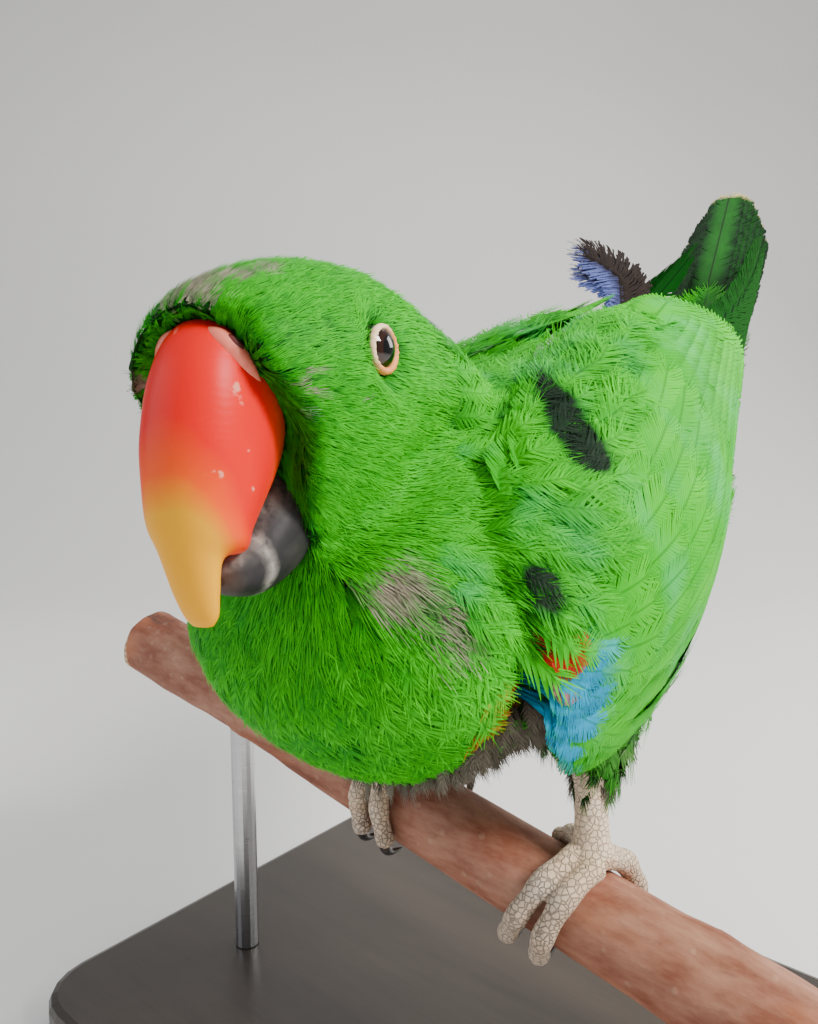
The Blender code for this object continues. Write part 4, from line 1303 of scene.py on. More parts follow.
def build_body_coat():
    """Barbed feathers over the neck, breast, back, flanks, belly, rump and thighs."""
    sets = plumage()
    rng = np.random.default_rng(sets.seed + 1)
    bed = Bed(["skin", "wing_pad_left", "wing_pad_right"])
    greens = (sets.deep_green, sets.head_green, sets.lime_green)
    neck = plumage_finish("neck_feathers", *greens, shaft=0.35, barbs=6, lean=1.5)
    body = plumage_finish("body_feathers", *greens, shaft=0.9, barbs=12, lean=3)
    small = barbed_template(12, 0.42, tip=0.4, start=0.1, end=0.1)
    large = barbed_template(24, 0.36, tip=0.45, start=0.08, end=0.12)

    def on_neck(points, normals):
        return (before_head_cut(points) < -1) & (reach_from_bill(points) < 74) & ~under_wing(points, 8)

    def on_trunk(points, normals):
        leg = points[:, 2] < 24
        return (reach_from_bill(points) > 66) & ~under_wing(points, 10) & ~leg

    loose = Ruffle(length=0.05, width=0.1, lift=0.07, crown=0.12)
    coat_piece("coat_neck", bed, NECK_SPACING, on_neck, small, 0.52, loose, neck, "head_feathers", rng)
    coat_piece(
        "coat_body", bed, BODY_SPACING, on_trunk, large, 0.62, loose, body, "body_feathers", rng, rise=1.15
    )

    shoulder = barbed_template(26, 0.42, tip=0.42, start=0.06, end=0.12)
    over = Ruffle(length=0.05, width=0.09, lift=0.08, crown=0.12)
    high_bed = Bed(["skin", "wing_pad_left", "wing_pad_right"], 9.0)
    # Shoulder and mantle feathers: their near-black green wear tint shows the painted shadow of the gaps, and
    # their bluish sheen is painted
    bright = plumage_finish(
        "shoulder_feathers", sets.deep_green, sets.wing_green, sets.lime_green, shaft=0.35,
        barbs=14, lean=3, fray=0.2, painted_sheen=sets.sheen_blue, wear_and_shadow=(1.0, (0.006, 0.03, 0.01)),
    )
    coat_piece("coat_shoulder", high_bed, SHOULDER_SPACING, on_shoulder, shoulder, 0.5, over, bright,
               "body_feathers", rng, length=1.0, rise=1.6, painted_shadow=painted_shadow_of_wing)
    scapular = barbed_template(40, 0.24, tip=0.5, start=0.04, end=0.4)
    coat_piece("coat_mantle", high_bed, MANTLE_SPACING, on_mantle, scapular, 0.5, over, bright,
               "body_feathers", rng, length=1.35, rise=2.0, painted_shadow=painted_shadow_of_wing)
    thigh = plumage_finish(
        "thigh_feathers", (0.004, 0.006, 0.003), sets.deep_green, sets.lime_green, 0.5, 10, 2
    )

    def on_leg(points, normals):
        close = np.zeros(len(points), dtype=bool)
        for x in FOOT_PLACES.values():
            close |= np.hypot(points[:, 0] - x, points[:, 1] - 5) < 12
        return close & (points[:, 2] < 36)

    def on_belly(points, normals):
        x, y, z = points.T
        return (y > -40) & (y < 10) & (normals[:, 2] < -0.25) & (z < 50) & (np.abs(x - 7) < 34)

    hanging_tufts("coat_thighs", bed, on_leg, THIGH_SPACING, small, loose, thigh, rng)
    down = plumage_finish(
        "belly_down", (0.012, 0.009, 0.006), sets.worn_grey, (0.3, 0.25, 0.2),
        shaft=0.3, barbs=8, lean=2,
    )
    hanging_tufts("coat_belly", bed, on_belly, BELLY_SPACING, small, loose, down, rng)


def hanging_tufts(name, bed, keep, spacing, template, ruffle, finish, rng):
    """Loose feathers that hang down from the thighs over the tops of the shanks, and from the belly."""
    roots = bed.scatter(spacing, keep, rng)
    count = len(roots)
    steps = 4
    legs = [min(FOOT_PLACES.values(), key=lambda x: abs(x - root[0])) for root in roots]
    middle = np.array([[x, KNEE_Y + 2] for x in legs])
    out = np.zeros((count, 3))
    out[:, :2] = roots[:, :2] - middle
    out = unit(out)
    low = 1 - smooth_step(roots[:, 2], 24, 36)
    lengths = rng.uniform(6, 9, count) + 4.5 * low * rng.random(count)
    lean = out * rng.uniform(0.05, 0.3, (count, 1)) + rng.normal(0, 0.1, (count, 3)) - np.array((0, 0, 1.0))
    lean = unit(lean)
    share = np.linspace(0, 1, steps + 1)
    points = roots[:, None] + lean[:, None] * (lengths[:, None] * share)[:, :, None]
    points = points - out[:, None] * (1.4 * share**2)[None, :, None]
    outs = np.repeat(out[:, None], steps + 1, axis=1)
    marks = np.zeros((count, len(MARK_KINDS)))
    marks[:, 2] = (rng.random(count) < 0.35) * 0.8
    widths = rng.uniform(2.6, 4.2, count)
    feather_pieces(
        name, template, framed(points, outs), widths, marks, ruffle, finish, "thigh_feathers", rng,
        unrolled(roots),
    )


# Wings


def pad_height(t, angle, low, high):
    """How far the arm's coverts stand over the trunk at a place of the wing."""
    share = min(t / WING_BODY_END, 1)
    thick = WING_THICKNESS * math.sin(math.pi * (0.12 + 0.68 * share))
    across = min(max((angle - low) / (high - low), 0), 1)
    front = 1 - 0.92 * (1 - smooth_step(t, -0.02, 0.2)) * smooth_step(angle, 4, 26)
    return WING_LIFT + thick * front * math.sin(math.pi * (0.06 + 0.88 * across)) ** 0.6


WING_DROP = 6.0
WING_FLARE = 3.5


def wing_edges(t):
    """The angles of the wing's lower and upper edge; the lower one hangs over the thigh."""
    low, high = wing_frame(t)[3][3:]
    return low - WING_DROP * math.sin(math.pi * min(t / 0.5, 1)), high


def wing_height(t, angle):
    """Height of the wing's surface at a place, flared out over the thigh."""
    low, high = wing_edges(t)
    flare = WING_FLARE * math.sin(math.pi * min(t / 0.5, 1)) * (1 - smooth_step(angle, low, low + 26))
    return pad_height(t, angle, low, high) + flare


def build_wing_pad(side):
    """The arm under the coverts, closed all round."""
    rings = []
    for k in range(PAD_STEPS + 1):
        t = k / PAD_STEPS * WING_BODY_END
        low, high = wing_edges(t)
        outer = []
        inner = []
        for i in range(PAD_ACROSS + 1):
            angle = low + (high - low) * i / PAD_ACROSS
            height = wing_height(t, angle)
            outer.append(wing_point(side, t, angle, height - 0.9))
            inner.append(wing_point(side, t, angle, min(WING_LIFT, height - 1.3)))
        rings.append(outer + inner[::-1])
    name = "wing_pad_" + ("left" if side > 0 else "right")
    pad = ring_object(name, rings)
    marks = np.zeros((len(pad.data.vertices), len(MARK_KINDS)))
    return down_under_coat(pad, "wing_down", "wing_feathers", marks, 0.4)


# Rows of the wing's feathers: name, count, root and tip of the lowest as place along the wing, share of the
# way from the lower to the upper edge and height over the arm, each followed by the step to the next, width
WING_ROWS_OF_FEATHERS = [
    ("primaries", 10, (0.38, -0.02, -1.5), (0.0, 0.05, 0), (0.985, 0.0, -2.2), (-0.038, 0.062, 0.3), 12.5),
    ("secondaries", 10, (0.36, 0.3, -1.0), (0.0, 0.055, 0), (0.69, 0.28, 0.4), (-0.006, 0.058, 0.15), 15),
    ("tertials", 4, (0.34, 0.82, -0.6), (0.0, 0.04, 0), (0.66, 0.86, 0.6), (-0.03, 0.035, 0.2), 15),
    ("greater", 15, (0.26, 0.0, -0.6), (0, 0.07, 0), (0.47, 0.02, 0.5), (0, 0.067, 0.04), 13),
    ("median_low", 14, (0.19, 0.02, -0.5), (0, 0.073, 0), (0.37, 0.02, 0.8), (0, 0.073, 0.03), 12.5),
    ("median_high", 14, (0.14, 0.0, -0.4), (0, 0.075, 0), (0.29, 0.02, 0.9), (0, 0.072, 0.02), 12),
]
LESSER_ROWS = [
    (0.105, 14, 0.115, 10.5),
    (0.075, 14, 0.105, 10.0),
    (0.045, 13, 0.10, 9.0),
    (0.02, 12, 0.095, 8.5),
    (0.0, 11, 0.085, 8.0),
    (-0.015, 10, 0.075, 7.0),
]
# Markings of the wing: kind, place along it, angle, reach in each
WING_MARKS = [
    ("turquoise", 0.115, 15, 0.02, 4),
    ("turquoise", 0.105, 7, 0.02, 5),
    ("turquoise", 0.065, -6, 0.045, 6),
    ("turquoise", 0.04, -14, 0.05, 8),
    ("turquoise", 0.07, -24, 0.04, 7),
    ("turquoise", 0.45, 27, 0.02, 3),
    ("scarlet", 0.045, 5, 0.022, 4),
    ("scarlet", 0.02, 1, 0.02, 4),
    ("pale", 0.26, 48, 0.02, 4),
    ("pale", 0.32, 38, 0.02, 4),
    ("pale", 0.34, 25, 0.02, 4),
    ("pale", 0.24, 17, 0.02, 4),
    ("pale", 0.21, 10, 0.02, 4),
    ("pale", 0.36, 66, 0.02, 4),
    ("pale", 0.50, 72, 0.04, 6),
]
# Painted shadow along the gaps where the left wing's and shoulder's feathers part: half width, then points
# along the gap
WING_PAINTED_SHADOWS = [
    (2.3, [(19.0, 1.0, 104.5), (25.5, -5.5, 102.0), (31.5, -11.5, 98.5), (37.0, -15.5, 94.8)]),
    (3.0, [(31.5, -11.5, 98.5), (37.0, -15.5, 94.8), (42.5, -17.0, 90.4)]),
    (2.4, [(45.0, -37.5, 71.0), (44.5, -34.0, 66.0)]),
]


def painted_shadow_of_wing(points):
    """How strongly the painted shadow along the left wing's gaps shows at each point."""
    shade = np.zeros(len(points))
    for half, line in WING_PAINTED_SHADOWS:
        line = np.array(line)
        for start, end in zip(line, line[1:]):
            run = end - start
            share = np.clip((points - start) @ run / (run @ run), 0, 1)
            far = np.linalg.norm(points - start - share[:, None] * run, axis=1)
            shade = np.maximum(shade, 1 - smooth_step(far, half, half * 1.9))
    return shade


def marks_of_wing(places):
    """How strongly each marking shows at each place along the wing and angle."""
    marks = np.zeros((len(places), len(MARK_KINDS)))
    for kind, t, angle, reach_t, reach_angle in WING_MARKS:
        far = np.hypot((places[:, 0] - t) / reach_t, (places[:, 1] - angle) / reach_angle)
        column = MARK_KINDS.index(kind)
        marks[:, column] = np.maximum(marks[:, column], 1 - smooth_step(far, 0.5, 1.5))
    return marks


def wing_place(t, share):
    """The angle at a share of the way from the wing's lower to its upper edge."""
    low, high = wing_edges(t)
    return low + (high - low) * share


def wing_paths(side, starts, ends, steps, rng, stray=0.0):
    """Paths over the wing from roots to tips, each a place along it, a share across and a height."""
    count = len(starts)
    points = np.zeros((count, steps + 1, 3))
    outs = np.zeros((count, steps + 1, 3))
    for i, (start, end) in enumerate(zip(starts, ends)):
        drift = rng.normal(0, stray)
        for k in range(steps + 1):
            share = k / steps
            t = start[0] + (end[0] - start[0]) * share
            low_angle = wing_place(max(t, 0), start[1])
            high_angle = wing_place(max(t, 0), end[1])
            angle = low_angle + (high_angle - low_angle) * share + drift * share
            height = wing_height(max(t, 0), angle)
            height += start[2] + (end[2] - start[2]) * share**0.7
            point = wing_point(side, t, angle, height)
            points[i, k] = point
            outs[i, k] = (wing_point(side, t, angle, height + 1) - point).normalized()
    return framed(points, outs)


def stepped(first, step, count):
    """A row of places, each a step on from the one before."""
    return [[at + go * i for at, go in zip(first, step)] for i in range(count)]


def build_wing(side):
    """The long feathers and the rows of coverts of one wing, from the tip up to the front edge."""
    sets = plumage()
    rng = np.random.default_rng(sets.seed + 20 + side)
    tag = "left" if side > 0 else "right"
    # Coverts: their near-black green wear tint shows the painted shadow of the gaps; their bluish sheen and
    # darker rims are painted light and shade
    bright = plumage_finish(
        "covert_feathers", sets.head_green, sets.wing_green, sets.wing_pale,
        shaft=0.5, barbs=34, lean=7, fray=0.2, painted_sheen=sets.sheen_blue, wear_and_shadow=(1.0, (0.006, 0.03, 0.01)),
        rim=0.7, gloss=0.06,
    )
    dark = plumage_finish(
        "flight_feathers", (0.003, 0.006, 0.01), sets.tail_green, sets.tail_green,
        shaft=0.9, barbs=60, lean=9, roughness=0.8, gloss=0.02,
    )
    # Painted shadow lines on the left wing only
    painted_shadow = painted_shadow_of_wing if side > 0 else None
    long_vane = barbed_template(84, 0.07, tip=0.8, start=0.02, end=1.0, overlap=0.58, shaft=0.04)
    covert = barbed_template(46, 0.2, tip=0.5, start=0.04, end=0.95, overlap=0.6, shaft=0.03)
    small = barbed_template(36, 0.26, tip=0.42, start=0.04, end=0.9, overlap=0.62, shaft=0.03)
    thick = Ruffle(length=0.003, width=0.015, lift=0.003, crown=0.14, thickness=0.3)
    soft = Ruffle(length=0.008, width=0.03, lift=0.008, crown=0.14)
    for name, count, root, root_step, tip, tip_step, width in WING_ROWS_OF_FEATHERS:
        starts = stepped(root, root_step, count)
        ends = stepped(tip, tip_step, count)
        flight = name in ("primaries", "secondaries", "tertials")
        paths = wing_paths(side, starts, ends, 8, rng, 0.0 if flight else 0.8)
        places = np.array([(end[0], wing_place(end[0], end[1])) for end in ends])
        marks = marks_of_wing(places)
        finish = dark if name == "primaries" else bright
        widths = width * rng.uniform(0.94, 1.06, count)
        feather_pieces(
            f"{name}_{tag}", long_vane if flight else covert, paths, widths, marks,
            thick if flight else soft, finish, "wing_feathers", rng, painted_shadow=painted_shadow,
        )
    starts = []
    ends = []
    widths = []
    for row, (t, count, run, width) in enumerate(LESSER_ROWS):
        for i in range(count):
            share = (i + 0.5 * (row % 2)) / (count - 0.5) * 0.98
            if t < 0.06 and share > 0.5:
                continue
            tucked = 2.4 * (1 - smooth_step(t, 0.03, 0.12)) * smooth_step(share, 0.35, 0.55)
            starts.append((t, share, -0.3 - tucked))
            ends.append((t + run * rng.uniform(0.9, 1.1), share, 1.0 - tucked))
            widths.append(width * rng.uniform(0.9, 1.1))
    paths = wing_paths(side, starts, ends, 5, rng, 1.5)
    places = np.array([
        (start[0] * 0.4 + end[0] * 0.6, wing_place(max(start[0], 0), start[1]))
        for start, end in zip(starts, ends)
    ])
    ragged = Ruffle(length=0.015, width=0.04, lift=0.015, crown=0.13)
    feather_pieces(
        f"lesser_{tag}", small, paths, np.array(widths), marks_of_wing(places), ragged, bright,
        "wing_feathers", rng, painted_shadow=painted_shadow,
    )


def build_raised():
    """The few long feathers of the right wing that stand up over the rump, bent over to the right."""
    sets = plumage()
    rng = np.random.default_rng(sets.seed + 30)
    count = 6
    steps = 8
    points = np.zeros((count, steps + 1, 3))
    outs = np.zeros((count, steps + 1, 3))
    for i in range(count):
        at = i * 3 / (count - 1)
        root = RAISED_ROOT + RAISED_ROOT_STEP * at
        run = (RAISED_TIP + RAISED_TIP_STEP * at - root) * rng.uniform(0.72, 1.0)
        run += Vector(rng.normal(0, 2.2, 3))
        out = (RAISED_FACE - run * (RAISED_FACE.dot(run) / run.length_squared)).normalized()
        aside = out.cross(run).normalized()
        for k in range(steps + 1):
            share = k / steps
            points[i, k] = root + run * share - aside * RAISED_BOW * math.sin(math.pi * share) + out * 0.4 * i
            outs[i, k] = out
    finish = raised_finish()
    template = barbed_template(80, 0.12, tip=0.6, start=0.02, end=0.95, overlap=0.62, shaft=0.06)
    ruffle = Ruffle(length=0.02, width=0.08, lift=0.03, crown=0.2, thickness=0.3)
    marks = np.zeros((count, len(MARK_KINDS)))
    feather_pieces(
        "raised_feathers", template, framed(points, outs), np.full(count, 12.0), marks, ruffle, finish,
        "wing_feathers", rng,
    )


def raised_finish():
    sets = plumage()
    made = Finish("raised_vanes", Specular_IOR_Level=0.05)
    across, share, _ = made.split(made.add("ShaderNodeUVMap", {"uv_map": "feather"}))
    fine = made.noise(500, 3)
    edge = (0.62 - across) * 1.7 + fine * 0.5 - 0.25
    black = made.mix(fine, (0.012, 0.009, 0.008), (0.05, 0.035, 0.03))
    tint = made.mix(edge.step(0.3, 0.8), black, sets.violet)
    tint = made.mix((share * edge).step(0.75, 1.0), tint, (0.5, 0.5, 0.75))
    made.feed("Base Color", tint)
    made.feed("Roughness", 0.45 + fine * 0.2)
    barb = ((share * 70 - abs(across - 0.5) * 14) * 2 * math.pi).sine()
    made.bump(barb, 0.3, 0.0002)
    return made.material


# Tail


def build_tail():
    """The tail feathers, the middle pair on top, and the coverts over and under their roots."""
    sets = plumage()
    rng = np.random.default_rng(sets.seed + 40)
    ahead, aside, lift = tail_axes()
    steps = 8

    def straight(offset, level, length, start, bend=0.0):
        run = Matrix.Rotation(-TAIL_FAN * offset, 3, lift) @ ahead
        root = TAIL_ROOT + aside * TAIL_ROOT_SPACING * offset + lift * level + ahead * start
        return [root + run * length * k / steps - lift * bend * (k / steps) ** 2 for k in range(steps + 1)]

    def piece(name, lines, widths, template, ruffle, finish, sign=1):
        points = np.array([[list(point) for point in line] for line in lines])
        outs = np.tile(np.array(lift) * sign, (*points.shape[:2], 1))
        marks = np.zeros((len(lines), len(MARK_KINDS)))
        feather_pieces(
            name, template, framed(points, outs), np.array(widths), marks, ruffle, finish,
            "tail_feathers", rng,
        )

    lines = []
    widths = []
    for i in range(TAIL_FEATHERS):
        offset = i - (TAIL_FEATHERS - 1) / 2
        rank = 2 * int(abs(offset)) + (offset > 0)
        length = TAIL_LENGTH - TAIL_STEPPING * offset * offset + rng.uniform(-1.5, 1)
        lines.append(straight(offset, TAIL_HIGHEST - TAIL_LAYER * rank, length, 0))
        widths.append(13.0)
    vane = barbed_template(90, 0.06, tip=0.88, start=0.02, end=1.0, overlap=0.62, shaft=0.05)
    thick = Ruffle(length=0.003, width=0.03, lift=0.004, crown=0.12, thickness=0.3)
    piece("tail_feathers", lines, widths, vane, thick, tail_finish())
    deep = sets.deep_green
    covert = barbed_template(26, 0.24, tip=0.5, start=0.05, end=0.4, overlap=0.62)
    soft = Ruffle(length=0.03, width=0.08, lift=0.04, crown=0.14)
    upper = plumage_finish("tail_coverts", deep, sets.head_green, sets.lime_green, 0.6, 24, 4)
    under = plumage_finish("undertail_coverts", deep, sets.tail_green, sets.lime_green, 0.6, 24, 4)
    for name, finish, sign, base in (("over_coverts", upper, 1, 5.0), ("under_coverts", under, -1, -6.6)):
        lines = []
        widths = []
        for row in range(TAIL_COVERT_ROWS):
            for i in range(TAIL_COVERTS):
                offset = (i - 3) * 1.9 + 0.9 * (row % 2)
                start = 12 - 8 * row
                level = base + sign * (0.35 * row - abs(offset) * 0.12)
                lines.append(straight(offset, level, 34 - abs(offset), start, sign * 1.5))
                widths.append(11.0)
        piece(name, lines, widths, covert, soft, finish, sign)


def tail_finish():
    """Dark green with lighter streaks and blackish edges, and a narrow pale yellow end."""
    sets = plumage()
    made = Finish("tail_vanes", Specular_IOR_Level=0.1)
    across, share, _ = made.split(made.add("ShaderNodeUVMap", {"uv_map": "feather"}))
    off = abs(across - 0.5) * 2
    fine = made.noise(300, 3)
    drift = made.noise(60, 2)
    barb = ((share * 80 - off * 9) * 2 * math.pi).sine() * 0.5 + 0.5
    # The tail's green is partly painted shade: its own dark green darkened further
    light = scaled(sets.tail_green, 2.4)
    green = made.mix((drift * 1.6 + fine * 0.8 - 0.7).clamped(), sets.tail_green, light)
    tint = made.mix((off + fine * 0.8).step(0.8, 1.5), green, (0.002, 0.008, 0.004))
    tint = made.mix((share + fine * 0.03).step(0.968, 0.992), tint, sets.tail_tip)
    tint = made.mix((1 - off.step(0.02, 0.07)) * 0.8, tint, (0.01, 0.008, 0.006))
    tint = made.mix((1 - barb) * 0.35, tint, (0.003, 0.02, 0.004))
    made.feed("Base Color", tint)
    made.feed("Roughness", 0.55 + fine * 0.16)
    made.bump(barb, 0.3, 0.0002)
    return made.material


# Bill, eyes and lids


def bill_rings(rows, steps, sides):
    """Rings of a mandible: round at the ridge, flatter along the cutting edge."""
    rings = []
    for k in range(steps + 1):
        ridge_f, ridge_u, edge_f, edge_u, wide = blend_rows(rows, k / steps)
        middle = Vector(((ridge_f + edge_f) / 2, (ridge_u + edge_u) / 2))
        half = Vector((ridge_f - edge_f, ridge_u - edge_u)) / 2
        ring = []
        for i in range(sides):
            turn = 2 * math.pi * i / sides
            across = math.copysign(abs(math.cos(turn)) ** 0.85, math.cos(turn)) * wide
            place = middle + half * math.sin(turn)
            ring.append(head_point(place.x, across, place.y))
        rings.append(ring)
    return rings


def store_bill_places(thing, steps, sides):
    """Stores how far along the bill each vertex lies and how near the ridge."""
    data = thing.data
    along = np.zeros(len(data.vertices))
    ridge = np.zeros(len(data.vertices))
    for k in range(steps + 1):
        for i in range(sides):
            index = k * sides + i
            along[index] = k / steps
            ridge[index] = math.sin(2 * math.pi * i / sides)
    for label, values in (("along", along), ("ridge", ridge)):
        field = data.attributes.new(label, "FLOAT", "POINT")
        field.data.foreach_set("value", values.astype(np.float32))


def build_bill():
    """Both mandibles, the cere over the upper one's root and the nostrils in it."""
    upper = ring_object("upper_bill", bill_rings(UPPER_BILL_ROWS, BILL_STEPS, BILL_SIDES))
    store_bill_places(upper, BILL_STEPS, BILL_SIDES)
    finished(upper, upper_bill_finish(), "bill_upper", "bill_upper")
    lower = ring_object("lower_bill", bill_rings(LOWER_BILL_ROWS, BILL_STEPS, BILL_SIDES))
    store_bill_places(lower, BILL_STEPS, BILL_SIDES)
    finished(lower, lower_bill_finish(), "bill_lower", "bill_lower")
    cere = bmesh.new()
    for side in (1, -1):
        rows = [(place[0], side * place[1], place[2], radius) for place, radius in zip(CERE_ARC, CERE_RADII)]
        fine = [blend_rows(rows, k / 32) for k in range(33)]
        skin_rings(cere, tube_rings([head_point(*row[:3]) for row in fine], [row[3] for row in fine], 20))
    finished(object_from("cere", cere), cere_finish(), "bill_upper")
    for side, tag in ((1, "left"), (-1, "right")):
        forward, left, up = NOSTRIL_PLACE
        mesh = bmesh.new()
        bmesh.ops.create_uvsphere(mesh, u_segments=20, v_segments=12, radius=1)
        turned = NOSTRIL_RUN.to_track_quat("Y", "Z").to_matrix()
        for vert in mesh.verts:
            local = turned @ Vector((vert.co.x * 0.65, vert.co.y * 1.6, vert.co.z * 0.65))
            vert.co = world(head_point(forward + local.x, side * (left + local.y), up + local.z))
        bmesh.ops.recalc_face_normals(mesh, faces=mesh.faces)
        finished(object_from("nostril_" + tag, mesh), nostril_finish(), "bill_upper")


def upper_bill_finish():
    """Coral red with orange rims, shading to amber in the lower third, with pale scuffs."""
    sets = horn()
    made = Finish("upper_bill_horn", Specular_IOR_Level=0.16)
    place = made.place()
    drift = made.noise(70, 3)
    along = made.attribute("along")
    ridge = made.attribute("ridge")
    low = along + ridge * 0.13 + drift * 0.12 - 0.06
    tint = made.ramp(low, [(0.06, sets.orange), (0.22, sets.coral), (0.44, sets.coral),
                           (0.56, sets.orange), (0.66, sets.amber), (1.0, sets.amber)])
    rim = (ridge * -1 + drift * 0.3).step(0.6, 1.05)
    tint = made.mix(rim * 0.85, tint, sets.orange)
    scuff = made.noise(260, 4)
    marks = scuff.step(0.66, 0.72) * made.noise(60, 2).step(0.48, 0.6)
    tint = made.mix(marks * 0.75, tint, (0.95, 0.6, 0.42))
    made.feed("Base Color", tint)
    made.feed("Roughness", 0.3 + drift * 0.16 + marks * 0.3)
    grow = made.add("ShaderNodeTexWave", {"wave_type": "BANDS", "bands_direction": "Z"},
                    {"Vector": place, "Scale": 260, "Distortion": 6, "Detail": 2})
    made.bump(made.noise(420, 4) * 0.5 + grow * 0.15 + marks * 0.6, 0.12, 0.0003)
    return made.material


def lower_bill_finish():
    """Black horn with grey scuffs of wear, a grey upper rim that is painted highlight, a browner front and a
    pale band round it.
    """
    sets = horn()
    made = Finish("lower_bill_horn", Specular_IOR_Level=0.25)
    drift = made.noise(130, 4)
    fine = made.noise(600, 4)
    along = made.attribute("along")
    ridge = made.attribute("ridge")
    black = sets.black_horn
    tint = made.mix(drift.step(0.5, 0.8), black, (0.07, 0.062, 0.058))
    # Grey along the upper rim is painted highlight; the random grey spots are scuffs of wear
    wear_and_painted_light = (ridge + drift * 0.8 - 0.4).step(0.55, 0.95) + drift.step(0.62, 0.72) * 0.6
    tint = made.mix((wear_and_painted_light * fine.step(0.3, 0.6)).clamped() * 0.75, tint, (0.24, 0.22, 0.2))
    tint = made.mix((along - drift * 0.2).step(0.66, 0.8) * 0.45, tint, (0.12, 0.075, 0.05))
    band = (1 - abs(along + drift * 0.12 - 0.66) * 16).clamped() * fine.step(0.3, 0.6)
    tint = made.mix(band * 0.7, tint, (0.42, 0.39, 0.35))
    made.feed("Base Color", tint)
    made.feed("Roughness", 0.34 + fine * 0.3)
    made.bump(drift * 0.7 + fine * 0.5, 0.25, 0.0003)
    return made.material


def cere_finish():
    sets = horn()
    made = Finish("cere_skin", Roughness=0.5, Subsurface_Weight=0.2)
    made.shader.inputs["Subsurface Radius"].default_value = (0.002, 0.0008, 0.0005)
    fine = made.noise(900, 4)
    made.feed("Base Color", made.mix(fine, sets.flesh, (0.85, 0.26, 0.18)))
    made.bump(fine, 0.25, 0.0002)
    return made.material


def nostril_finish():
    made = Finish("nostril_shade", Roughness=0.6)
    made.feed("Base Color", made.mix(made.noise(700), (0.05, 0.006, 0.006), (0.18, 0.02, 0.02)))
    return made.material


LID_RADIUS = 3.65
LID_THICKNESS = 0.5
LID_SHIFT = 3.8
LID_RISE = 0.8


def build_eyes():
    """Each eye's ball with its iris and pupil, and the bare granular lid round its opening."""
    ahead, aside, lift = head_axes()
    for side, tag in ((1, "left"), (-1, "right")):
        centre = head_point(EYE_PLACE[0], side * EYE_PLACE[1], EYE_PLACE[2] + LID_RISE)
        mesh = bmesh.new()
        bmesh.ops.create_uvsphere(mesh, u_segments=48, v_segments=32, radius=EYE_RADIUS)
        gaze = aside * side
        for vert in mesh.verts:
            facing = vert.co.normalized().dot(gaze)
            shrunk = 0.8 + 0.2 * float(smooth_step(facing, 0.5, 0.7))
            vert.co = world(centre + vert.co * shrunk + gaze * max(facing - 0.8, 0) * 1.2)
        finished(object_from("eyeball_" + tag, mesh), eye_finish(side), "eye", "eye_" + tag)
        mesh = bmesh.new()
        middle = centre + gaze * LID_SHIFT
        profile = []
        sides = 14
        for k in range(sides):
            turn = 2 * math.pi * k / sides
            out = ahead * (LID_RADIUS + LID_THICKNESS * math.cos(turn))
            profile.append(mesh.verts.new(world(middle + out + gaze * LID_THICKNESS * 1.25 * math.sin(turn))))
        edges = [mesh.edges.new((profile[k - 1], profile[k])) for k in range(sides)]
        bmesh.ops.spin(
            mesh, geom=edges, cent=world(middle), axis=gaze, angle=2 * math.pi, steps=56, use_merge=True
        )
        bmesh.ops.remove_doubles(mesh, verts=mesh.verts, dist=1e-6)
        for vert in mesh.verts:
            local = vert.co / MM - GRIP_POINT - middle
            height = local.dot(lift)
            turn = math.atan2(height, local.dot(ahead))
            grain = 0.09 * math.sin(turn * 22) + 0.05 * math.sin(turn * 39 + 1)
            ring = ahead * math.cos(turn) + lift * math.sin(turn)
            thick = 0.55 * max(0.0, -ring.dot(ahead + lift) / math.sqrt(2))
            vert.co += (gaze * grain - lift * height * 0.07 + (local - ring * LID_RADIUS) * thick) * MM
        bmesh.ops.recalc_face_normals(mesh, faces=mesh.faces)
        finished(object_from("lid_" + tag, mesh), lid_finish(), "eye")


def eye_finish(side):
    """Near black, with a dark brown iris that shows round the pupil, under a wet gloss."""
    sets = horn()
    tag = "left" if side > 0 else "right"
    made = Finish("eye_" + tag, Roughness=0.06, Coat_Weight=0.5, Coat_Roughness=0.02, IOR=1.36)
    place = made.place()
    ahead, _, lift = head_axes()
    forward = made.dot(place, ahead) - EYE_PLACE[0]
    up = made.dot(place, lift) - EYE_PLACE[2] - LID_RISE
    far = (forward * forward + up * up) ** 0.5
    fine = made.noise(1500, 3)
    ring = made.mix(fine, sets.iris, scaled(sets.iris, 0.3))
    tint = made.mix(far.step(2.0, 2.2), (0.002, 0.002, 0.002), ring)
    tint = made.mix((far + fine * 0.3).step(2.9, 3.2), tint, (0.01, 0.006, 0.005))
    made.feed("Base Color", tint)
    return made.material


def lid_finish():
    sets = horn()
    made = Finish("lid_skin", Roughness=0.5, Subsurface_Weight=0.1)
    made.shader.inputs["Subsurface Radius"].default_value = (0.001, 0.0005, 0.0003)
    fine = made.noise(1100, 4)
    drift = made.noise(240, 2)
    ahead, _, lift = head_axes()
    place = made.place()
    # The lid's orange turns cream towards its front and top: a painted highlight
    upper = made.dot(place, ahead + lift) - EYE_PLACE[0] - EYE_PLACE[2] - LID_RISE
    tint = made.mix((upper * 0.22 + drift * 0.8 - 0.1).clamped(), sets.lid, (0.93, 0.66, 0.4))
    made.feed("Base Color", made.mix(fine.step(0.55, 0.75) * 0.35, tint, (0.5, 0.2, 0.08)))
    made.bump(fine, 0.4, 0.0002)
    return made.material


# Feet


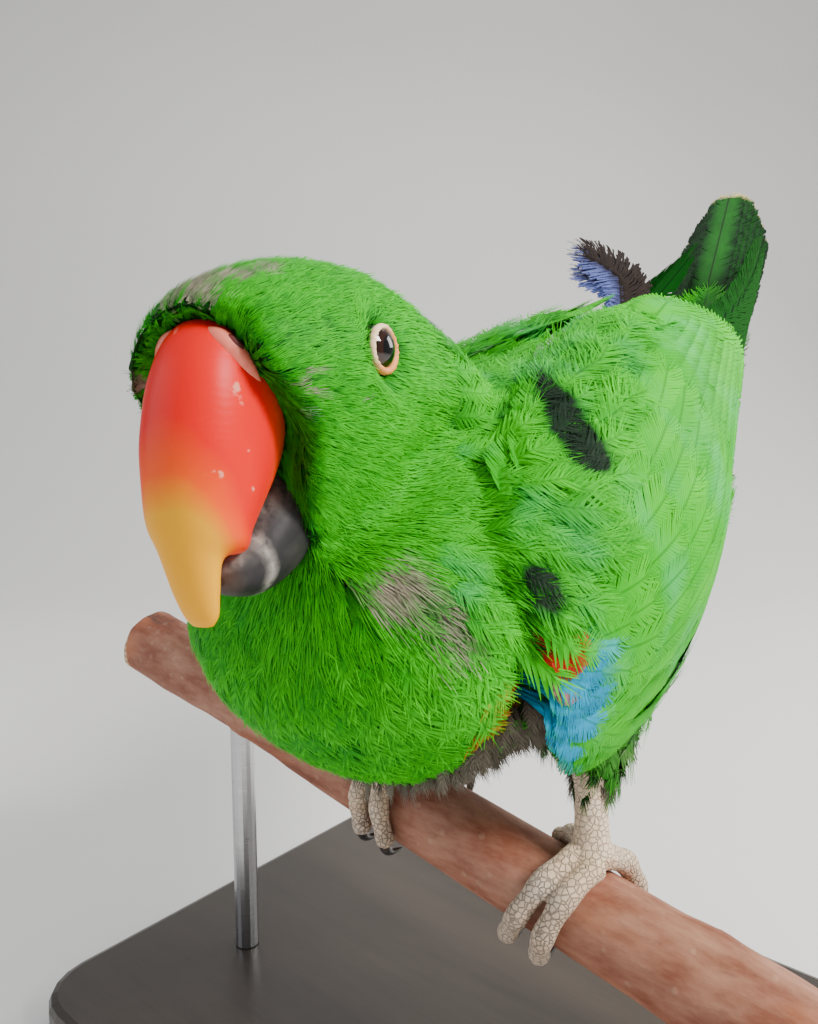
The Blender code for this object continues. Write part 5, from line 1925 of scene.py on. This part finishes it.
def toe_line(x, side, shape, count):
    """Points and radii of one toe round the branch, without its claw."""
    start, end, turn_start, turn_end = shape
    points = []
    radii = []
    for k in range(count + 1):
        share = k / count
        pads = 0.17 * math.cos(share * 6 * math.pi)
        radius = TOE_RADIUS + (TOE_END_RADIUS - TOE_RADIUS) * share + pads
        turn = turn_start + (turn_end - turn_start) * share
        reach = PERCH_RADIUS + radius + TOE_CLEARANCE - 0.25
        points.append(perch_wrap(x + side * (start + (end - start) * share), turn, reach))
        radii.append(radius)
    return points, radii


def leg_joints(name):
    """The foot's crown on the branch, the end of the feathers above it, and the way up between them."""
    x = FOOT_PLACES[name]
    crown = perch_wrap(x, 90, PERCH_RADIUS + 0.3 + CROWN_RISE)
    knee = Vector((x, KNEE_Y, THIGH_END))
    return crown, knee, (knee - crown).normalized()


def build_foot(name):
    """One skin over the toes, their root and the shank, and a claw at each toe's end."""
    x = FOOT_PLACES[name]
    side = 1 if name == "left" else -1
    crown, knee, shin = leg_joints(name)
    mesh = bmesh.new()
    shank = [crown, crown.lerp(knee, 0.5), knee + shin * 3]
    skin_rings(mesh, tube_rings(shank, SHANK_RADII, 20))
    skin_rings(mesh, tube_rings([crown - shin * 3, crown, crown + shin * 3], (3.0, PAD_RADIUS, 3.4), 20))
    claws = []
    for shape in TOES[name]:
        points, radii = toe_line(x, side, shape, 24)
        tail = points[-1] + (points[-1] - points[-2]).normalized() * radii[-1] * 0.5
        skin_rings(mesh, tube_rings(points + [tail], radii + [radii[-1] * 0.62], 18))
        claws.append((shape, points[-1], points[-1] - points[-2]))
    foot = object_from("foot_skin_" + name, mesh)
    add_voxels(foot, FOOT_VOXEL)
    soften(foot, 3, 0.5)
    finished(foot, foot_finish(), "foot_skin", "foot_" + name)
    mesh = bmesh.new()
    for shape, _, _ in claws:
        _, end, turn_start, turn_end = shape
        sign = math.copysign(1, turn_end - turn_start)
        points = []
        radii = []
        for k in range(13):
            share = k / 12
            sweep = math.degrees(CLAW_LENGTH * 1.25 * (share - 0.12) / (PERCH_RADIUS + 2))
            reach = PERCH_RADIUS + 2.9 + 0.7 * math.sin(math.pi * min(share * 1.3, 1)) - 2.3 * share**2
            points.append(perch_wrap(x + side * end, turn_end + sign * sweep, reach))
            radii.append(1.45 * (1 - share) ** 0.75 + 0.12)
        skin_rings(mesh, tube_rings(points, radii, 14))
    finished(object_from("claws_" + name, mesh), claw_finish(), "foot_skin")


def foot_finish():
    """Pale scaled skin, greyer towards the claws, with dark lines between the scales."""
    sets = horn()
    made = Finish("foot_scales", Roughness=0.62, Subsurface_Weight=0.08)
    made.shader.inputs["Subsurface Radius"].default_value = (0.002, 0.001, 0.0006)
    place = made.place()
    drift = made.noise(90, 3)
    fine = made.noise(1200, 3)
    cells = made.add("ShaderNodeTexVoronoi", {"feature": "DISTANCE_TO_EDGE"},
                     {"Vector": place, "Scale": 820, "Randomness": 0.8})
    seam = cells.step(0.0, 0.14)
    height = made.split(place)[2]
    toe = (0.089 - height) * 90 + drift * 1.4 - 0.9
    grey = (toe.clamped() * (1 - seam * 0.55) + fine * 0.2 - 0.12).clamped()
    pale = made.mix(drift.step(0.4, 0.7), sets.foot, (0.9, 0.72, 0.55))
    tint = made.mix((1 - seam) * 0.3, pale, sets.foot_dark)
    tint = made.mix(grey * 0.85, tint, sets.foot_dark)
    made.feed("Base Color", tint)
    made.feed("Roughness", 0.5 + fine * 0.2)
    made.bump(seam + fine * 0.15, 0.75, 0.00045)
    return made.material


def claw_finish():
    sets = horn()
    made = Finish("claw_horn", Coat_Weight=0.3, Coat_Roughness=0.2)
    fine = made.noise(700, 4)
    tint = made.mix(fine.step(0.5, 0.85), sets.black_horn, (0.15, 0.12, 0.1))
    made.feed("Base Color", tint)
    made.feed("Roughness", 0.28 + fine * 0.2)
    made.bump(fine, 0.15, 0.0002)
    return made.material


# Branch and stand


# Knots of the branch: place along it, turn round it in degrees, reach and height
KNOTS = [
    (58, 118, 5.5, 1.5),
    (-52, 60, 6.5, 1.7),
    (-92, 150, 6.0, 1.4),
    (-70, -30, 5.0, 1.1),
    (16, 200, 5.0, 0.5),
]


def build_perch():
    """The cut branch: round where the feet hold it, with knots, ridges and rough ends beyond."""
    rng = np.random.default_rng(4)
    waves = rng.uniform(0, 2 * math.pi, 6)
    rings = []
    for k in range(PERCH_STEPS + 1):
        x = PERCH_RIGHT_END + (PERCH_LEFT_END - PERCH_RIGHT_END) * k / PERCH_STEPS
        free = max(0, min(1, (abs(x - PERCH_GRIP_X) - PERCH_ROUND) / PERCH_FADE))
        bend = 0.6 * math.sin(x / 31)
        ring = []
        for i in range(PERCH_SIDES):
            turn = 360 * i / PERCH_SIDES
            angle = math.radians(turn)
            swell = bend + 0.35 * math.sin(x / 13 + 2 * angle + waves[0])
            swell += 0.18 * math.sin(5 * angle + x / 24 + waves[1])
            swell += 0.1 * math.sin(11 * angle - x / 9 + waves[2])
            swell += 0.08 * math.sin(x / 2.3 + 3 * angle + waves[3])
            for at, spot, wide, high in KNOTS:
                away = (turn - spot + 180) % 360 - 180
                far = math.hypot((x - at) / wide, math.radians(away) * PERCH_RADIUS / wide)
                swell += high * (math.exp(-far * far * 2) - 0.7 * math.exp(-far * far * 14))
            ring.append(perch_wrap(x, turn, PERCH_RADIUS + free * swell - (1 - free) * 0.05))
        rings.append(ring)
    perch = ring_object("branch", rings)
    cut_ends(perch)
    finished(perch, bark_finish(), "bark", "perch")


def cut_ends(perch):
    """Insets and dishes the two sawn ends and breaks their rims."""
    mesh = bmesh.new()
    mesh.from_mesh(perch.data)
    ends = [face for face in mesh.faces if len(face.verts) > 8]
    for face in ends:
        for step, depth in ((0.9, 0.35), (1.8, -0.25), (2.4, 0.2), (2.0, -0.15)):
            bmesh.ops.inset_region(mesh, faces=[face], thickness=step * MM, depth=depth * MM)
    mesh.to_mesh(perch.data)
    mesh.free()
    perch.data.shade_smooth()


def bark_finish():
    """Smooth reddish bark with pale rubbed places, dark cracks and orange stains, and pale cut ends."""
    sets = stand()
    made = Finish("bark")
    place = made.place()
    long_way = made.add("ShaderNodeMapping", None,
                        {"Vector": place, "Scale": (0.35, 1, 1), "Rotation": (0, PERCH_RISE, 0)})
    drift = made.noise(48, 4, long_way)
    patch = made.noise(110, 5, long_way, rough=0.62)
    fine = made.noise(700, 4, long_way, rough=0.65)
    tint = made.mix(patch.step(0.42, 0.66), sets.bark, sets.bark_pale)
    tint = made.mix(drift.step(0.56, 0.7) * 0.7, tint, (0.55, 0.17, 0.06))
    crack = patch.step(0.3, 0.4)
    tint = made.mix((1 - crack) * 0.85, tint, sets.bark_dark)
    specks = made.add("ShaderNodeTexVoronoi", {"feature": "F1"}, {"Vector": place, "Scale": 210})
    dots = 1 - specks.step(0.1, 0.2)
    tint = made.mix(dots * 0.25, tint, (0.5, 0.32, 0.22))
    tint = made.mix(fine.step(0.55, 0.8) * 0.35, tint, sets.bark_dark)
    x, _, _ = made.split(place)
    left_end = world(perch_axis(PERCH_LEFT_END)).x
    right_end = world(perch_axis(PERCH_RIGHT_END)).x
    cut = (x - (left_end - 0.0012)).step(0, 0.0004) + ((right_end + 0.0012) - x).step(0, 0.0004)
    rings = made.add("ShaderNodeTexWave", {"wave_type": "RINGS", "rings_direction": "X"},
                     {"Vector": made.add("ShaderNodeMapping", {"vector_type": "POINT"}, {
                         "Vector": place, "Location": (0, 0.022, -0.061)}), "Scale": 160, "Distortion": 2.5})
    wood = made.mix(rings, sets.cut_wood, (0.45, 0.25, 0.12))
    tint = made.mix(cut.clamped(), tint, wood)
    made.feed("Base Color", tint)
    made.feed("Roughness", 0.55 + fine * 0.25)
    made.bump(patch * 0.6 + fine * 0.35 + dots * 0.25, 0.5, 0.0008)
    return made.material


def build_stand():
    """Better finishes for the stand's own solids."""
    base = frame["nodes"]["stand_base"]
    stain = stain_finish()
    for place in base.material_slots:
        place.material = stain
    steel = steel_finish()
    for tag in ("left", "right"):
        for place in frame["nodes"]["stand_rod_" + tag].material_slots:
            place.material = steel


def stain_finish():
    """Dark stained wood with open grain."""
    sets = stand()
    made = Finish("stained_wood", Coat_Weight=0.25, Coat_Roughness=0.25)
    place = made.place()
    grain_place = made.add("ShaderNodeMapping", None, {"Vector": place, "Scale": (0.12, 1, 1)})
    grain = made.noise(240, 6, grain_place, rough=0.6)
    drift = made.noise(30, 2, grain_place)
    pores = made.noise(900, 2, grain_place)
    tint = made.mix((grain * 1.3 - 0.3).clamped(), scaled(sets.stain, 0.45), sets.stain)
    tint = made.mix(drift.step(0.5, 0.8) * 0.5, tint, scaled(sets.stain, 2.0))
    made.feed("Base Color", tint)
    made.feed("Roughness", 0.32 + grain * 0.2)
    made.bump(grain * 0.6 + pores * 0.4, 0.2, 0.0003)
    return made.material


def steel_finish():
    """Turned steel with fine rings round the rod."""
    sets = stand()
    made = Finish("turned_steel", Metallic=1.0)
    place = made.place()
    rings = made.noise(60, 3, made.add("ShaderNodeMapping", None, {"Vector": place, "Scale": (1, 1, 60)}))
    made.feed("Base Color", made.mix(rings, sets.steel, scaled(sets.steel, 0.75)))
    made.feed("Roughness", 0.22 + rings * 0.16)
    made.bump(rings, 0.05, 0.0002)
    return made.material


# Stage


# Where the floor starts to sweep up, its ends before and above that, half its width and the sweep's steps
SWEEP_START = 0.55
SWEEP_RADIUS = 0.5
FLOOR_FRONT = -1.6
FLOOR_TOP = 2.4
FLOOR_HALF = 3.0
SWEEP_STEPS = 12


def build_stage():
    """A pale floor that sweeps up behind, soft lights and the photo's camera."""
    sets = stand()
    mesh = bmesh.new()
    turned = Matrix.Rotation(CAMERA_TURN, 4, "Z")
    profile = [(FLOOR_FRONT, 0.0), (SWEEP_START, 0.0)]
    for k in range(1, SWEEP_STEPS + 1):
        angle = math.pi / 2 * k / SWEEP_STEPS
        profile.append((SWEEP_START + SWEEP_RADIUS * math.sin(angle), SWEEP_RADIUS * (1 - math.cos(angle))))
    profile.append((SWEEP_START + SWEEP_RADIUS, FLOOR_TOP))
    verts = [mesh.verts.new(turned @ Vector((-FLOOR_HALF, y, z))) for y, z in profile]
    edges = [mesh.edges.new(pair) for pair in zip(verts, verts[1:])]
    made = bmesh.ops.extrude_edge_only(mesh, edges=edges)["geom"]
    moved = [part for part in made if isinstance(part, bmesh.types.BMVert)]
    bmesh.ops.translate(mesh, verts=moved, vec=turned.to_3x3() @ Vector((2 * FLOOR_HALF, 0, 0)))
    bmesh.ops.recalc_face_normals(mesh, faces=mesh.faces)
    floor = object_from("floor_sweep", mesh)
    finish = Finish("floor_paint", Roughness=0.75)
    cloud = finish.noise(9, 2)
    pale = sets.floor
    finish.feed("Base Color", finish.mix(cloud, pale, scaled(pale, 0.97)))
    floor.data.materials.append(finish.material)
    target = Vector((0.01, -0.02, 0.12))
    lights = [
        ("key", (0.70, 0.05, 0.70), 0.25, 13.5, (1.0, 0.97, 0.92)),
        ("fill", (-0.62, -0.78, 0.45), 0.7, 3.5, (0.93, 0.96, 1.0)),
        ("top", (-0.1, 0.25, 0.95), 0.8, 4.0, (1.0, 1.0, 1.0)),
        ("rim", (0.35, 0.8, 0.5), 0.4, 4.0, (1.0, 0.98, 0.94)),
    ]
    for name, place, size, power, tint in lights:
        data = bpy.data.lights.new(name, "AREA")
        data.size = size
        data.energy = power * sets.light
        data.color = tint
        lamp = bpy.data.objects.new(name, data)
        lamp.location = place
        lamp.rotation_euler = (Vector(place) - target).to_track_quat("Z", "Y").to_euler()
        bpy.context.scene.collection.objects.link(lamp)
    world_data = bpy.data.worlds.new("soft_room")
    world_data.use_nodes = True
    world_data.node_tree.nodes["Background"].inputs["Color"].default_value = (0.9, 0.94, 1.0, 1)
    world_data.node_tree.nodes["Background"].inputs["Strength"].default_value = 0.35
    bpy.context.scene.world = world_data
    data = bpy.data.cameras.new("photo_view")
    data.lens = CAMERA_LENS
    data.sensor_width = 36
    data.sensor_fit = "VERTICAL"
    data.sensor_height = 36
    data.clip_start = 0.01
    camera = bpy.data.objects.new("photo_view", data)
    camera.location = CAMERA_PLACE
    camera.rotation_euler = (math.pi / 2 - CAMERA_PITCH, 0, CAMERA_TURN)
    bpy.context.scene.collection.objects.link(camera)
    bpy.context.scene.camera = camera


# Operators


class PARROT_OT_skin(bpy.types.Operator):
    """Builds the one skin under the coat, and the arms under the wings' coverts."""

    bl_idname = "parrot.skin"
    bl_label = "Skin"

    def execute(self, context):
        build_skin()
        for side in (1, -1):
            build_wing_pad(side)
        return {"FINISHED"}


class PARROT_OT_coat(bpy.types.Operator):
    """Grows the feathers of the head, neck, body and thighs on the skin."""

    bl_idname = "parrot.coat"
    bl_label = "Coat"

    def execute(self, context):
        build_head_coat()
        build_body_coat()
        return {"FINISHED"}


class PARROT_OT_wings(bpy.types.Operator):
    """Lays the long feathers and coverts of both wings and the raised feathers of the right one."""

    bl_idname = "parrot.wings"
    bl_label = "Wings"

    def execute(self, context):
        for side in (1, -1):
            build_wing(side)
        build_raised()
        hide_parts("wing_left")
        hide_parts("wing_right")
        return {"FINISHED"}


class PARROT_OT_tail(bpy.types.Operator):
    """Lays the tail feathers and their coverts."""

    bl_idname = "parrot.tail"
    bl_label = "Tail"

    def execute(self, context):
        build_tail()
        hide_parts("tail")
        return {"FINISHED"}


class PARROT_OT_head_parts(bpy.types.Operator):
    """Makes the bill with its cere and nostrils, the eyes and their lids."""

    bl_idname = "parrot.head_parts"
    bl_label = "Bill and eyes"

    def execute(self, context):
        build_bill()
        build_eyes()
        return {"FINISHED"}


class PARROT_OT_feet(bpy.types.Operator):
    """Makes the scaled feet and their claws."""

    bl_idname = "parrot.feet"
    bl_label = "Feet"

    def execute(self, context):
        for name in FOOT_PLACES:
            build_foot(name)
        return {"FINISHED"}


class PARROT_OT_perch(bpy.types.Operator):
    """Makes the branch and finishes the stand."""

    bl_idname = "parrot.perch"
    bl_label = "Branch and stand"

    def execute(self, context):
        build_perch()
        build_stand()
        return {"FINISHED"}


class PARROT_OT_stage(bpy.types.Operator):
    """Sets the floor, the lights and the camera."""

    bl_idname = "parrot.stage"
    bl_label = "Stage"

    def execute(self, context):
        build_stage()
        return {"FINISHED"}


class PARROT_PT_panel(bpy.types.Panel):
    """The parrot's settings and steps."""

    bl_label = "Parrot"
    bl_idname = "PARROT_PT_panel"
    bl_space_type = "VIEW_3D"
    bl_region_type = "UI"
    bl_category = "Parrot"

    def draw(self, context):
        for group in (context.scene.parrot_plumage, context.scene.parrot_horn, context.scene.parrot_stand):
            box = self.layout.box()
            for key in group.bl_rna.properties.keys():
                if key not in ("rna_type", "name"):
                    box.prop(group, key)
        for operator in OPERATORS:
            self.layout.operator(operator.bl_idname)


OPERATORS = (
    PARROT_OT_skin,
    PARROT_OT_coat,
    PARROT_OT_wings,
    PARROT_OT_tail,
    PARROT_OT_head_parts,
    PARROT_OT_feet,
    PARROT_OT_perch,
    PARROT_OT_stage,
)
CLASSES = (PlumageSettings, HornSettings, StandSettings, *OPERATORS, PARROT_PT_panel)


def register():
    for item in CLASSES:
        bpy.utils.register_class(item)
    bpy.types.Scene.parrot_plumage = PointerProperty(type=PlumageSettings)
    bpy.types.Scene.parrot_horn = PointerProperty(type=HornSettings)
    bpy.types.Scene.parrot_stand = PointerProperty(type=StandSettings)


def unregister():
    del bpy.types.Scene.parrot_plumage
    del bpy.types.Scene.parrot_horn
    del bpy.types.Scene.parrot_stand
    for item in reversed(CLASSES):
        bpy.utils.unregister_class(item)


def main():
    register()
    bpy.ops.parrot.skin()
    bpy.ops.parrot.coat()
    bpy.ops.parrot.wings()
    bpy.ops.parrot.tail()
    bpy.ops.parrot.head_parts()
    bpy.ops.parrot.feet()
    bpy.ops.parrot.perch()
    bpy.ops.parrot.stage()


if __name__ == "__main__":
    main()
